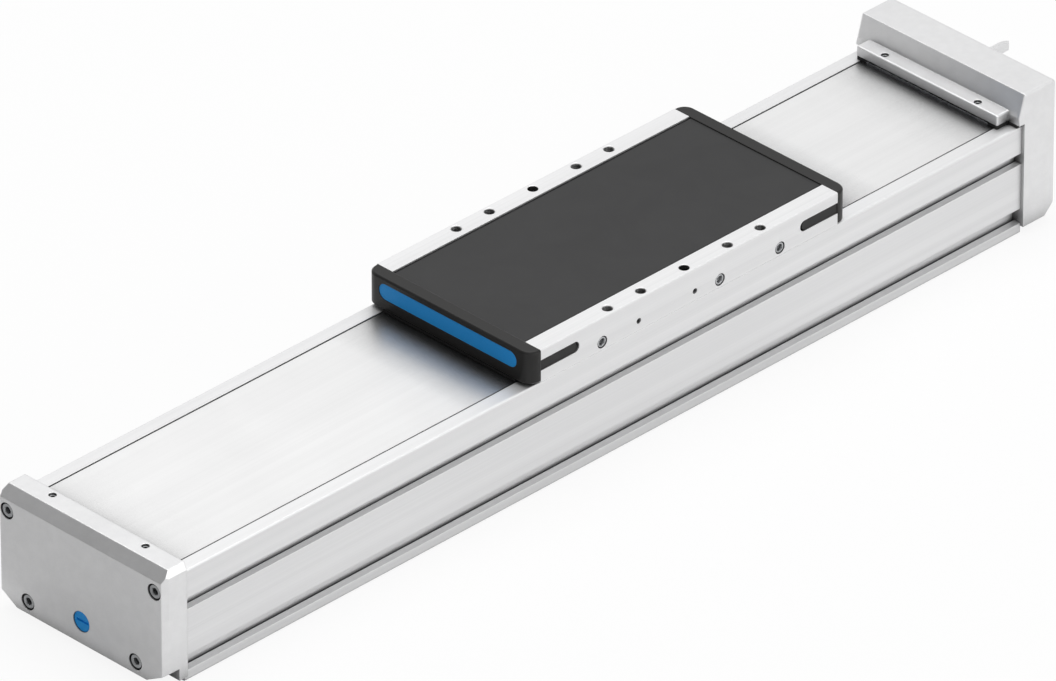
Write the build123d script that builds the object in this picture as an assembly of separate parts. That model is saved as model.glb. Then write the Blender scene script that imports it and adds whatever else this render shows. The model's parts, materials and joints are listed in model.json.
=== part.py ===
from build123d import *
import os
from math import cos, radians, sin, sqrt

# Ball screw linear axis with a wide profile, two rail guides and a lifted steel cover strip.
# Millimetres. X runs along the travel towards the drive end, Y across, Z up.
# The origin is the centre of the profile's underside.

# Profile
PROFILE_LENGTH = 637.2
PROFILE_WIDTH = 120.0
PROFILE_HEIGHT = 68.4
PROFILE_FLOOR = 15.0
PROFILE_SIDE_WALL = 7.6
PROFILE_CEILING = 6.0
PROFILE_EDGE_RADIUS = 1.0

# Slots along the profile: height of the centre line, mouth, lip and inner cavity
UPPER_SLOT_HEIGHT = 47.6
UPPER_SLOT_MOUTH = 7.0
UPPER_SLOT_LIP = 4.2
UPPER_SLOT_DEPTH = 5.6
UPPER_SLOT_CAVITY = 9.2
LOWER_SLOT_HEIGHT = 10.9
LOWER_SLOT_MOUTH = 9.4
LOWER_SLOT_LIP = 4.6
LOWER_SLOT_DEPTH = 6.2
LOWER_SLOT_CAVITY = 13.0
BASE_SLOT_SPACING = 40.0
BASE_SLOT_MOUTH = 8.2
BASE_SLOT_LIP = 4.5
BASE_SLOT_DEPTH = 11.0
BASE_SLOT_CAVITY = 15.0

# Cover strip and the magnets under its edges
STRIP_WIDTH = 100.0
STRIP_THICKNESS = 0.3
STRIP_LAND = 8.0
STRIP_SIDE_GAP = 0.9
STRIP_GAP_DEPTH = 1.6
STRIP_SEAT_DEPTH = 0.5
STRIP_OVERHANG = 2.0
STRIP_LIFT = 8.4
STRIP_END_LENGTH = 6.5
STRIP_RAMP_LENGTH = 48.0
MAGNET_WIDTH = 5.0
MAGNET_THICKNESS = 1.4
MAGNET_INSET = 1.0

# Idle end cap
CAP_HALF_WIDTH = 62.4
CAP_LENGTH = 17.8
CAP_FLANGE_LENGTH = 6.2
CAP_BOTTOM = 4.3
CAP_TOP = 75.2
CAP_TOP_CHAMFER = 6.0
CAP_CORNER_CHAMFER = 1.2
CAP_CORNER_CHAMFER_LENGTH = 4.7
CAP_SHOULDER_CHAMFER = 2.0
CAP_SHOULDER_CHAMFER_HEIGHT = 4.4
CAP_FOOT_CHAMFER_WIDTH = 13.0
CAP_FOOT_CHAMFER_HEIGHT = 7.4
CAP_SCREW_UPPER = (56.0, 62.1)
CAP_SCREW_LOWER = (41.0, 11.7)
PLUG_HEIGHT = 18.0
PLUG_RADIUS = 6.25
PLUG_DEPTH = 5.0
STRIP_SCREW_SPACING = 70.6
STRIP_SCREW_RADIUS = 2.2
IDLE_STRIP_SCREW_SETBACK = 3.9
IDLE_POCKET_DEPTH = 7.5
PLUG_RECESS = 0.6
PLUG_SLOT_LENGTH = 9.0
PLUG_SLOT_WIDTH = 1.4
PLUG_SLOT_DEPTH = 1.2

# Drive housing
HOUSING_HALF_WIDTH = 62.2
HOUSING_BOTTOM = 4.5
HOUSING_TOP = 89.2
HOUSING_LENGTH = 24.5
HOUSING_OVERHANG = 4.0
HOUSING_OVERHANG_BOTTOM = 70.6
HOUSING_BEND_RISE = 4.7
HOUSING_EDGE_RADIUS = 1.6
HOUSING_REAR_RADIUS = 2.5
HOUSING_FOOT_CHAMFER = 7.5
STEP_STRIP_MARGIN = 3.5
STEP_LENGTH = 9.0
STEP_BOTTOM = 71.1
STEP_TOP = 77.2
STEP_RADIUS = 1.0
STEP_SCREW_SETBACK = 3.8
SEAL_INSET = 0.4
CLAMP_BAR_THICKNESS = 1.6
CLAMP_BAR_GAP = 1.6
CLAMP_BAR_SIDE_GAP = 0.4
CLAMP_BAR_INSET = 4.0

# Screw axis and drive interface
SCREW_HEIGHT = 45.0
SCREW_RADIUS = 10.0
THREAD_END_GAP = 3.0
JOURNAL_RADIUS = 7.5
SHAFT_RADIUS = 6.0
SHAFT_CHAMFER = 0.6
COLLAR_OUTER_RADIUS = 24.4
COLLAR_INNER_RADIUS = 18.6
COLLAR_LENGTH = 37.5
COLLAR_WINDOW_OFFSET = 8.8
COLLAR_EDGE_CHAMFER = 0.8
COLLAR_SHAFT_SETBACK = 3.0
COVER_BORE_RADIUS = 13.2
COVER_FLANGE_RADIUS = 32.0
COVER_FLANGE_THICKNESS = 5.0
COVER_SEAT_DEPTH = 1.0
COVER_SCREW_CIRCLE = 28.2
COVER_SCREW_COUNT = 4
COVER_SCREW_FIRST_ANGLE = 45.0
COVER_SCREW_GRIP = 9.0
MOTOR_SCREW_SPACING_Y = 64.0
MOTOR_SCREW_SPACING_Z = 60.0
MOTOR_SCREW_RADIUS = 2.5
MOTOR_SCREW_DEPTH = 12.0

# Bearings
FIXED_BEARING_RADIUS = 17.5
FIXED_BEARING_WIDTH = 11.0
FLOATING_BEARING_RADIUS = 14.0
FLOATING_BEARING_WIDTH = 8.0
FLOATING_JOURNAL_RADIUS = 6.0
RING_WALL = 2.6
SHIELD_GAP = 0.3
SHIELD_THICKNESS = 0.6
HOUSING_LIP_BORE_RADIUS = 12.0
LOCK_NUT_RADIUS = 12.5
LOCK_NUT_LENGTH = 8.0
LOCK_NUT_SLOT = 4.0
LOCK_NUT_SLOT_DEPTH = 1.6
LOCK_NUT_SLOT_COUNT = 4

# Guide rails and carriages
RAIL_SPACING = 68.0
RAIL_WIDTH = 15.0
RAIL_HEIGHT = 14.0
RAIL_WAIST_DEPTH = 1.6
RAIL_HEAD_SHARE = 0.72
RAIL_UPPER_WAIST_SHARE = 0.55
RAIL_LOWER_WAIST_SHARE = 0.4
RAIL_FOOT_SHARE = 0.22
RAIL_END_GAP = 5.0
RAIL_SCREW_COUNT = 5
RAIL_SCREW_PITCH = 120.0
RAIL_SCREW_GRIP = 9.0
RAIL_SCREW_RECESS = 0.4
CARRIAGE_WIDTH = 34.0
CARRIAGE_BODY_LENGTH = 48.0
CARRIAGE_END_PLATE = 6.0
CARRIAGE_TOTAL_HEIGHT = 24.0
CARRIAGE_UNDERSIDE_GAP = 4.2
CARRIAGE_RAIL_CLEARANCE = 0.3
CARRIAGE_CHAMFER = 1.5
CARRIAGE_INSET = 3.0
CARRIAGE_SCREW_OFFSET = 12.0
CARRIAGE_SCREW_SPACING = 26.0
CARRIAGE_SCREW_GRIP = 7.0
END_PLATE_INSET = 0.8

# Ball nut
NUT_RADIUS = 17.0
NUT_LENGTH = 45.0
NUT_BORE_CLEARANCE = 0.5
NUT_FLANGE_RADIUS = 28.0
NUT_FLANGE_THICKNESS = 10.0
NUT_FLANGE_HALF_HEIGHT = 20.0
NUT_SCREW_CIRCLE = 23.0
NUT_SCREW_ANGLES = (8.0, 42.0, 138.0, 172.0)
NUT_WIPER_LENGTH = 3.0
NUT_WIPER_RADIUS = 13.0
NUT_WIPER_GAP = 0.3
NUT_SCREW_GRIP = 9.0

# Carrier between guide, nut and slide table
CARRIER_LENGTH = 216.0
CARRIER_HALF_WIDTH = 50.0
CARRIER_THICKNESS = 9.0
CARRIER_NECK_CLEARANCE = 2.0
NUT_BOSS_HALF_WIDTH = 28.0
NUT_BOSS_WALL = 2.0
CARRIER_SCREW_CLEARANCE = 1.0
FIT_CLEARANCE = 0.05
IDLE_BUFFER_LENGTH = 17.8
DRIVE_BUFFER_LENGTH = 30.4
BUFFER_RADIUS = 4.4
BUFFER_SPACING = 76.0

# Slide
SLIDE_REST_POSITION = 57.7
SLIDE_HALF_WIDTH = 62.3
SLIDE_LENGTH = 227.2
SLIDE_BOTTOM = 69.8
SLIDE_TOP = 90.4
SLIDE_BRIDGE_THICKNESS = 6.2
SLIDE_BRIDGE_LENGTH = 120.0
LEDGE_STRIP_GAP = 0.5
SLIDE_EDGE_CHAMFER = 0.5
COVER_PLATE_THICKNESS = 4.0
COVER_PLATE_RECESS = 0.4
COVER_PLATE_GAP = 0.4
SHELF_WIDTH = 3.0
SHELF_THICKNESS = 3.6
SLIDE_HOLE_HALF_SPACING_Y = 57.4
SLIDE_HOLE_OFFSETS = (33.2, 58.4)
SLIDE_HOLE_RADIUS = 3.0
SLIDE_HOLE_RIM = 0.4
SLIDE_HOLE_DEPTH = 14.0
SLIDE_PIN_RADIUS = 3.0
SLIDE_PIN_RIM = 0.25
SLIDE_PIN_DEPTH = 8.0
END_CAP_LENGTH = 8.4
END_CAP_CORNER_RADIUS = 7.5
END_CAP_BOTTOM = 70.3
END_CAP_EDGE_CHAMFER = 1.0
TAB_LENGTH = 29.0
TAB_HEIGHT = 6.6
TAB_CENTRE_HEIGHT = 80.7
TAB_THICKNESS = 2.4
TAB_RECESS = 0.5
TAB_END_GAP = 1.6
INLAY_HALF_WIDTH = 52.2
INLAY_HEIGHT = 9.8
INLAY_CENTRE_HEIGHT = 82.2
INLAY_DEPTH = 1.5
INLAY_RECESS = 0.25
WIPER_LENGTH = 4.0
WIPER_GAP = 0.3
WIPER_SETBACK = 0.6
NIPPLE_OFFSETS = (-67.1, 22.8, 69.0)
NIPPLE_HEIGHT = 74.9
NIPPLE_RADIUS = 3.7
NIPPLE_DEPTH = 5.0
NIPPLE_RECESS = 0.3
NIPPLE_BORE_DEPTH = 1.5
NIPPLE_BORE_RADIUS = 1.5
SIDE_BORE_OFFSETS = (-39.4, 3.5)
SIDE_BORE_HEIGHT = 76.1
SIDE_BORE_RADIUS = 1.7
SIDE_BORE_DEPTH = 5.0
BRIDGE_SCREW_SPACING_X = 96.0
BRIDGE_SCREW_SPACING_Y = 60.0
BRIDGE_SCREW_RECESS = 0.2
BRIDGE_SCREW_GRIP = 12.0
GUIDE_GAP = 0.3
GUIDE_NECK_INSET = 2.0
GUIDE_BOTTOM_GAP = 0.2
SENSOR_MAGNET_LENGTH = 18.0
SENSOR_MAGNET_DEPTH = 3.0
SENSOR_MAGNET_HEIGHT = 6.0

# Fasteners
M5_HEAD_RADIUS = 4.25
M5_HEAD_HEIGHT = 5.0
M5_SHANK_RADIUS = 2.5
M5_HEX = 4.0
M5_COUNTERBORE_RADIUS = 4.9
M5_COUNTERBORE_DEPTH = 5.6
M4_HEAD_RADIUS = 3.5
M4_HEAD_HEIGHT = 4.0
M4_SHANK_RADIUS = 2.0
M4_HEX = 3.0
M4_COUNTERBORE_RADIUS = 4.0
SCREW_THREAD_LENGTH = 14.0
THREAD_HOLE_RESERVE = 1.0
SET_SCREW_HEX = 2.0
SET_SCREW_SOCKET_DEPTH = 2.0
SET_SCREW_RECESS = 1.0

# Derived places
IDLE_FACE = -PROFILE_LENGTH / 2
OPENING_WIDTH = STRIP_WIDTH - 2 * STRIP_LAND
DRIVE_FACE = PROFILE_LENGTH / 2
HOUSING_REAR = DRIVE_FACE + HOUSING_LENGTH
COVER_SEAT = HOUSING_REAR - COVER_SEAT_DEPTH
HOUSING_FRONT = DRIVE_FACE - HOUSING_OVERHANG
CLAMP_BAR_HALF_WIDTH = STRIP_WIDTH / 2 - CLAMP_BAR_INSET
STEP_HALF_WIDTH = STRIP_WIDTH / 2 + STEP_STRIP_MARGIN
HOUSING_BEND_HEIGHT = HOUSING_OVERHANG_BOTTOM + HOUSING_BEND_RISE
STEP_FRONT = HOUSING_FRONT - STEP_LENGTH
RAIL_Y = RAIL_SPACING / 2
CARRIAGE_SPACING = CARRIER_LENGTH - CARRIAGE_BODY_LENGTH - 2 * (CARRIAGE_END_PLATE + CARRIAGE_INSET)
CARRIAGE_TOP = PROFILE_FLOOR + CARRIAGE_TOTAL_HEIGHT
STRIP_LEVEL = PROFILE_HEIGHT - STRIP_SEAT_DEPTH
BRIDGE_TOP = SLIDE_BOTTOM + SLIDE_BRIDGE_THICKNESS
SLIDE_IDLE_END = SLIDE_REST_POSITION - SLIDE_LENGTH / 2
SLIDE_DRIVE_END = SLIDE_REST_POSITION + SLIDE_LENGTH / 2
CARRIER_IDLE_END = SLIDE_REST_POSITION - CARRIER_LENGTH / 2
CARRIER_DRIVE_END = SLIDE_REST_POSITION + CARRIER_LENGTH / 2
COVER_PLATE_TOP = SLIDE_TOP - COVER_PLATE_RECESS
COVER_PLATE_BOTTOM = COVER_PLATE_TOP - COVER_PLATE_THICKNESS
LEDGE_INNER = STRIP_WIDTH / 2 + LEDGE_STRIP_GAP
NECK_IDLE_END = SLIDE_REST_POSITION - SLIDE_BRIDGE_LENGTH / 2
NECK_DRIVE_END = SLIDE_REST_POSITION + SLIDE_BRIDGE_LENGTH / 2
NECK_HALF_WIDTH = OPENING_WIDTH / 2 - CARRIER_NECK_CLEARANCE
GUIDE_HALF_WIDTH = NECK_HALF_WIDTH - GUIDE_NECK_INSET
CARRIER_DECK = CARRIAGE_TOP + CARRIER_THICKNESS
NUT_BOSS_TOP = SCREW_HEIGHT + NUT_RADIUS + NUT_BOSS_WALL
FIXED_BEARINGS_START = COVER_SEAT - 2 * FIXED_BEARING_WIDTH
FLOATING_BEARING_START = IDLE_FACE - FLOATING_BEARING_WIDTH
THREAD_START = IDLE_FACE + THREAD_END_GAP
THREAD_END = DRIVE_FACE - THREAD_END_GAP
SHAFT_END = HOUSING_REAR + COLLAR_LENGTH - COLLAR_SHAFT_SETBACK


def box(x, y, z):
    """A box from its low and high limits along each axis."""
    size = (x[1] - x[0], y[1] - y[0], z[1] - z[0])
    middle = ((x[0] + x[1]) / 2, (y[0] + y[1]) / 2, (z[0] + z[1]) / 2)
    return Pos(*middle) * Box(*size)


def cylinder_x(x, y, z, radius):
    """A cylinder along X between two limits in x."""
    return Pos((x[0] + x[1]) / 2, y, z) * Rot(0, 90, 0) * Cylinder(radius, x[1] - x[0])


def cylinder_y(x, y, z, radius):
    """A cylinder along Y between two limits in y."""
    return Pos(x, (y[0] + y[1]) / 2, z) * Rot(90, 0, 0) * Cylinder(radius, y[1] - y[0])


def cylinder_z(x, y, z, radius):
    """A cylinder along Z between two limits in z."""
    return Pos(x, y, (z[0] + z[1]) / 2) * Cylinder(radius, z[1] - z[0])


def countersink_z(x, y, top, radius, chamfer_depth):
    """A 45 degree countersink that opens upwards, for a hole of the given radius."""
    middle = top - chamfer_depth / 2
    return Pos(x, y, middle) * Cone(radius, radius + chamfer_depth, chamfer_depth)


def prism_x(points, x):
    """A polygon in Y and Z, extruded along X."""
    face = make_face(Polyline(*points, close=True))
    return extrude(Plane.YZ.offset(x[0]) * face, amount=x[1] - x[0])


def prism_y(points, y):
    """A polygon in X and Z, extruded along Y."""
    face = make_face(Polyline(*points, close=True))
    return extrude(Plane.XZ.offset(-y[1]) * face, amount=y[1] - y[0])


def mirrored(points):
    """A half outline in Y and Z, from the top centre round to the bottom, closed by its mirror image."""
    return list(points) + [(-y, z) for y, z in reversed(points)]


def both_sides(shape):
    """A shape and its mirror image across the middle plane."""
    return [shape, mirror(shape, about=Plane.XZ)]


def join(shapes):
    """One body from several that touch or overlap."""
    whole = shapes[0]
    for shape in shapes[1:]:
        whole = whole + shape
    return whole


def cut(body, tools):
    """A body with each tool taken out of it."""
    for tool in tools:
        body = body - tool
    return body


def save(name, *shapes):
    """Write the solids of one piece, or of a group of identical fasteners, as one file."""
    solids = [solid for shape in shapes for solid in shape.solids()]
    export_step(solids[0] if len(solids) == 1 else Compound(children=solids), f"parts/{name}.step")


def socket_screw(size, length):
    """A socket head screw with its head seat at the origin, head towards +Z and shank towards -Z."""
    head_radius, head_height, shank_radius, hexagon = size
    head = Pos(0, 0, head_height / 2) * Cylinder(head_radius, head_height)
    shank = Pos(0, 0, -length / 2) * Cylinder(shank_radius, length)
    outline = RegularPolygon(hexagon / sqrt(3), 6)
    socket = Pos(0, 0, head_height / 2) * extrude(outline, amount=head_height)
    return head + shank - socket


def facing(shape, place, direction):
    """A shape modelled along +Z, put at a place and turned to a direction."""
    return Plane(origin=place, z_dir=direction).location * shape


M5_SCREW = (M5_HEAD_RADIUS, M5_HEAD_HEIGHT, M5_SHANK_RADIUS, M5_HEX)
M4_SCREW = (M4_HEAD_RADIUS, M4_HEAD_HEIGHT, M4_SHANK_RADIUS, M4_HEX)


def side_slot(height, mouth, lip, depth, cavity):
    """A T slot in the side face, as a tool for each side, along the whole profile."""
    length = (IDLE_FACE, DRIVE_FACE)
    face = PROFILE_WIDTH / 2
    opening = box(length, (face - depth, face), (height - mouth / 2, height + mouth / 2))
    pocket = box(length, (face - depth, face - lip), (height - cavity / 2, height + cavity / 2))
    return both_sides(opening + pocket)


def base_slot():
    """A T slot in the underside, as a tool for each side."""
    length = (IDLE_FACE, DRIVE_FACE)
    middle = BASE_SLOT_SPACING / 2
    opening = box(length, (middle - BASE_SLOT_MOUTH / 2, middle + BASE_SLOT_MOUTH / 2), (0, BASE_SLOT_DEPTH))
    pocket = box(
        length,
        (middle - BASE_SLOT_CAVITY / 2, middle + BASE_SLOT_CAVITY / 2),
        (BASE_SLOT_LIP, BASE_SLOT_DEPTH),
    )
    return both_sides(opening + pocket)


def strip_seat_half_width():
    """Half the width of the shallow seat for the cover strip."""
    return STRIP_WIDTH / 2 + STRIP_SIDE_GAP


def magnet_limits():
    """The place of a magnet strip across the profile, under the edge of the cover strip."""
    outer = STRIP_WIDTH / 2 - MAGNET_INSET
    return (outer - MAGNET_WIDTH, outer)


def end_screw_places():
    """The four end screws, in Y and Z, shared by the idle cap, the profile and the drive housing."""
    upper = [(side * CAP_SCREW_UPPER[0], CAP_SCREW_UPPER[1]) for side in (1, -1)]
    lower = [(side * CAP_SCREW_LOWER[0], CAP_SCREW_LOWER[1]) for side in (1, -1)]
    return upper + lower


def make_profile():
    """The extruded body: slots, the opening for the carrier, the strip's seat and gaps, the magnets' grooves."""
    length = (IDLE_FACE, DRIVE_FACE)
    half = PROFILE_WIDTH / 2
    body = box(length, (-half, half), (0, PROFILE_HEIGHT))
    body = fillet(body.edges().filter_by(Axis.X), PROFILE_EDGE_RADIUS)
    inner = half - PROFILE_SIDE_WALL
    cavity = box(length, (-inner, inner), (PROFILE_FLOOR, PROFILE_HEIGHT - PROFILE_CEILING))
    opening = box(length, (-OPENING_WIDTH / 2, OPENING_WIDTH / 2), (PROFILE_FLOOR, PROFILE_HEIGHT))
    seat_half = strip_seat_half_width()
    seat = box(length, (-seat_half, seat_half), (STRIP_LEVEL, PROFILE_HEIGHT))
    magnet = box(length, magnet_limits(), (STRIP_LEVEL - MAGNET_THICKNESS, PROFILE_HEIGHT))
    gap = box(length, (STRIP_WIDTH / 2, seat_half), (PROFILE_HEIGHT - STRIP_GAP_DEPTH, PROFILE_HEIGHT))
    tools = [cavity, opening, seat] + both_sides(magnet) + both_sides(gap)
    tools += side_slot(UPPER_SLOT_HEIGHT, UPPER_SLOT_MOUTH, UPPER_SLOT_LIP, UPPER_SLOT_DEPTH, UPPER_SLOT_CAVITY)
    tools += side_slot(LOWER_SLOT_HEIGHT, LOWER_SLOT_MOUTH, LOWER_SLOT_LIP, LOWER_SLOT_DEPTH, LOWER_SLOT_CAVITY)
    tools += base_slot()
    hole = M5_SHANK_RADIUS + FIT_CLEARANCE
    depth = SCREW_THREAD_LENGTH + THREAD_HOLE_RESERVE
    for y, z in end_screw_places():
        tools.append(cylinder_x((IDLE_FACE, IDLE_FACE + depth), y, z, hole))
        tools.append(cylinder_x((DRIVE_FACE - depth, DRIVE_FACE), y, z, hole))
    for x in rail_screw_places():
        for side in (1, -1):
            grip = (PROFILE_FLOOR - RAIL_SCREW_GRIP, PROFILE_FLOOR)
            tools.append(cylinder_z(x, side * RAIL_Y, grip, M4_SHANK_RADIUS + FIT_CLEARANCE))
    return cut(body, tools)


def rail_screw_places():
    """Where each rail is screwed down along the profile."""
    first = -RAIL_SCREW_PITCH * (RAIL_SCREW_COUNT - 1) / 2
    return [first + index * RAIL_SCREW_PITCH for index in range(RAIL_SCREW_COUNT)]


def prism_z(points, z):
    """A polygon in X and Y, extruded along Z."""
    face = make_face(Polyline(*points, close=True))
    return extrude(Plane.XY.offset(z[0]) * face, amount=z[1] - z[0])


def screw_hole_x(x, place):
    """A clearance hole for an end screw between two limits in x."""
    return cylinder_x(x, place[0], place[1], M5_SHANK_RADIUS + FIT_CLEARANCE)


def strip_screw_places():
    """Where the strip's set screws lie across the axis."""
    return (STRIP_SCREW_SPACING / 2, -STRIP_SCREW_SPACING / 2)


def make_idle_cap():
    """The idle end cap with its bearing seat, screw counterbores, plug seat and strip pocket."""
    front = IDLE_FACE - CAP_LENGTH
    flange = IDLE_FACE - CAP_FLANGE_LENGTH
    half = CAP_HALF_WIDTH
    top = [(half - CAP_SHOULDER_CHAMFER, CAP_TOP), (half, CAP_TOP - CAP_SHOULDER_CHAMFER_HEIGHT)]
    foot = [(half, CAP_BOTTOM + CAP_FOOT_CHAMFER_HEIGHT), (half - CAP_FOOT_CHAMFER_WIDTH, CAP_BOTTOM)]
    body = prism_x(mirrored(top + [(half, CAP_BOTTOM)]), (flange, IDLE_FACE))
    body = body + prism_x(mirrored(top + foot), (front, flange))
    edge = [(front, CAP_TOP - CAP_TOP_CHAMFER), (front + CAP_TOP_CHAMFER, CAP_TOP), (front, CAP_TOP)]
    corner = [(front, half - CAP_CORNER_CHAMFER), (front + CAP_CORNER_CHAMFER_LENGTH, half), (front, half)]
    tools = [prism_y(edge, (-half, half))]
    tools += both_sides(prism_z(corner, (CAP_BOTTOM, CAP_TOP)))
    tools.append(cylinder_x((FLOATING_BEARING_START, IDLE_FACE), 0, SCREW_HEIGHT, FLOATING_BEARING_RADIUS))
    tools.append(cylinder_x((front, front + PLUG_DEPTH), 0, PLUG_HEIGHT, PLUG_RADIUS))
    for place in end_screw_places():
        tools.append(cylinder_x((front, front + M5_COUNTERBORE_DEPTH), *place, M5_COUNTERBORE_RADIUS))
        tools.append(screw_hole_x((front, IDLE_FACE), place))
    pocket_half = strip_seat_half_width()
    pocket_height = (STRIP_LEVEL, STRIP_LEVEL + STRIP_THICKNESS + CLAMP_BAR_THICKNESS + CLAMP_BAR_GAP)
    tools.append(box((IDLE_FACE - IDLE_POCKET_DEPTH, IDLE_FACE), (-pocket_half, pocket_half), pocket_height))
    for y in strip_screw_places():
        x = IDLE_FACE - IDLE_STRIP_SCREW_SETBACK
        tools.append(cylinder_z(x, y, (STRIP_LEVEL, CAP_TOP), STRIP_SCREW_RADIUS + FIT_CLEARANCE))
    return cut(body, tools)


def make_sealing_plug():
    """The round plug in the idle cap, with a screwdriver slot."""
    front = IDLE_FACE - CAP_LENGTH + PLUG_RECESS
    back = IDLE_FACE - CAP_LENGTH + PLUG_DEPTH
    body = cylinder_x((front, back), 0, PLUG_HEIGHT, PLUG_RADIUS - FIT_CLEARANCE)
    slot_half = PLUG_SLOT_LENGTH / 2
    slot_height = (PLUG_HEIGHT - PLUG_SLOT_WIDTH / 2, PLUG_HEIGHT + PLUG_SLOT_WIDTH / 2)
    return body - box((front, front + PLUG_SLOT_DEPTH), (-slot_half, slot_half), slot_height)


def make_idle_cap_screws():
    """The four screws that hold the idle cap to the profile."""
    seat = IDLE_FACE - CAP_LENGTH + M5_COUNTERBORE_DEPTH
    length = CAP_LENGTH - M5_COUNTERBORE_DEPTH + SCREW_THREAD_LENGTH
    screw = socket_screw(M5_SCREW, length)
    return [facing(screw, (seat, y, z), (-1, 0, 0)) for y, z in end_screw_places()]


def set_screw(x, y, z):
    """A set screw with a hexagon socket in its top, between two limits in z."""
    body = cylinder_z(x, y, z, STRIP_SCREW_RADIUS)
    hexagon = RegularPolygon(SET_SCREW_HEX / sqrt(3), 6)
    socket = Pos(x, y, z[1] - SET_SCREW_SOCKET_DEPTH) * extrude(hexagon, amount=SET_SCREW_SOCKET_DEPTH)
    return body - socket


def strip_clamp_top():
    """The height of the top of both clamp bars, where the set screws press."""
    return STRIP_LEVEL + STRIP_THICKNESS + CLAMP_BAR_THICKNESS


def make_idle_clamp_bar():
    """The bar that holds the strip's end down inside the idle cap."""
    x = (IDLE_FACE - IDLE_POCKET_DEPTH + CLAMP_BAR_SIDE_GAP, IDLE_FACE - CLAMP_BAR_SIDE_GAP)
    height = (STRIP_LEVEL + STRIP_THICKNESS, strip_clamp_top())
    return box(x, (-CLAMP_BAR_HALF_WIDTH, CLAMP_BAR_HALF_WIDTH), height)


def make_idle_set_screws():
    """The two set screws in the top of the idle cap."""
    x = IDLE_FACE - IDLE_STRIP_SCREW_SETBACK
    return [set_screw(x, y, (strip_clamp_top(), CAP_TOP - SET_SCREW_RECESS)) for y in strip_screw_places()]


def make_drive_clamp_bar():
    """The thin bar under the step of the drive housing that holds the strip's end down."""
    x = (STEP_FRONT + CLAMP_BAR_SIDE_GAP, HOUSING_FRONT)
    height = (STRIP_LEVEL + STRIP_THICKNESS, strip_clamp_top())
    return box(x, (-CLAMP_BAR_HALF_WIDTH, CLAMP_BAR_HALF_WIDTH), height)


def make_drive_set_screws():
    """The two set screws in the step of the drive housing."""
    x = STEP_FRONT + STEP_SCREW_SETBACK
    return [set_screw(x, y, (strip_clamp_top(), STEP_TOP - SET_SCREW_RECESS)) for y in strip_screw_places()]


def make_drive_housing():
    """The drive housing: raised body, step over the strip's end, bearing bore and motor screw holes."""
    half = HOUSING_HALF_WIDTH
    outline = [
        (DRIVE_FACE, HOUSING_BOTTOM),
        (DRIVE_FACE, HOUSING_OVERHANG_BOTTOM),
        (HOUSING_FRONT, HOUSING_OVERHANG_BOTTOM),
        (HOUSING_FRONT, HOUSING_BEND_HEIGHT),
        (DRIVE_FACE, HOUSING_TOP),
        (HOUSING_REAR, HOUSING_TOP),
        (HOUSING_REAR, HOUSING_BOTTOM + HOUSING_FOOT_CHAMFER),
        (HOUSING_REAR - HOUSING_FOOT_CHAMFER, HOUSING_BOTTOM),
    ]
    body = prism_y(outline, (-half, half))
    top_edges = body.edges().filter_by(Axis.Y).group_by(Axis.Z)[-1]
    body = fillet(top_edges.sort_by(Axis.X)[-1], HOUSING_REAR_RADIUS)
    side_faces = body.faces().filter_by(Axis.Y)
    outer_edges = [edge for face in side_faces for edge in face.edges()]
    upper = [e for e in outer_edges if e.center().X < HOUSING_REAR and e.center().Z > HOUSING_BEND_HEIGHT]
    body = fillet(upper, HOUSING_EDGE_RADIUS)
    step = box((STEP_FRONT, DRIVE_FACE), (-STEP_HALF_WIDTH, STEP_HALF_WIDTH), (STEP_BOTTOM, STEP_TOP))
    front = step.faces().sort_by(Axis.X)[0]
    round_edges = [edge for edge in front.edges() if edge.center().Z > STEP_BOTTOM]
    round_edges += step.edges().filter_by(Axis.X).group_by(Axis.Z)[-1]
    step = fillet(round_edges, STEP_RADIUS)
    body = body + step
    tools = [cylinder_x((FIXED_BEARINGS_START, COVER_SEAT), 0, SCREW_HEIGHT, FIXED_BEARING_RADIUS)]
    tools.append(cylinder_x((COVER_SEAT, HOUSING_REAR), 0, SCREW_HEIGHT, COVER_FLANGE_RADIUS + FIT_CLEARANCE))
    tools.append(cylinder_x((DRIVE_FACE, HOUSING_REAR), 0, SCREW_HEIGHT, HOUSING_LIP_BORE_RADIUS))
    for place in end_screw_places():
        head = (HOUSING_REAR - M5_COUNTERBORE_DEPTH, HOUSING_REAR)
        tools.append(cylinder_x(head, *place, M5_COUNTERBORE_RADIUS))
        tools.append(screw_hole_x((DRIVE_FACE, HOUSING_REAR), place))
    for y, z in motor_screw_places():
        tools.append(cylinder_x((HOUSING_REAR - MOTOR_SCREW_DEPTH, HOUSING_REAR), y, z, MOTOR_SCREW_RADIUS))
    for y, z in cover_screw_places():
        hole = (COVER_SEAT - COVER_SCREW_GRIP, COVER_SEAT)
        tools.append(cylinder_x(hole, y, z, M4_SHANK_RADIUS + FIT_CLEARANCE))
    for y in strip_screw_places():
        x = STEP_FRONT + STEP_SCREW_SETBACK
        tools.append(cylinder_z(x, y, (STEP_BOTTOM, STEP_TOP), STRIP_SCREW_RADIUS + FIT_CLEARANCE))
    return cut(body, tools)


def motor_screw_places():
    """The threaded holes for a motor kit, in Y and Z on the housing's rear face."""
    ys = (MOTOR_SCREW_SPACING_Y / 2, -MOTOR_SCREW_SPACING_Y / 2)
    zs = (SCREW_HEIGHT + MOTOR_SCREW_SPACING_Z / 2, SCREW_HEIGHT - MOTOR_SCREW_SPACING_Z / 2)
    return [(y, z) for y in ys for z in zs]


def cover_screw_places():
    """The screws of the bearing cover, in Y and Z."""
    places = []
    for index in range(COVER_SCREW_COUNT):
        angle = radians(COVER_SCREW_FIRST_ANGLE + 360 * index / COVER_SCREW_COUNT)
        places.append((COVER_SCREW_CIRCLE * cos(angle), SCREW_HEIGHT + COVER_SCREW_CIRCLE * sin(angle)))
    return places


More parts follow.
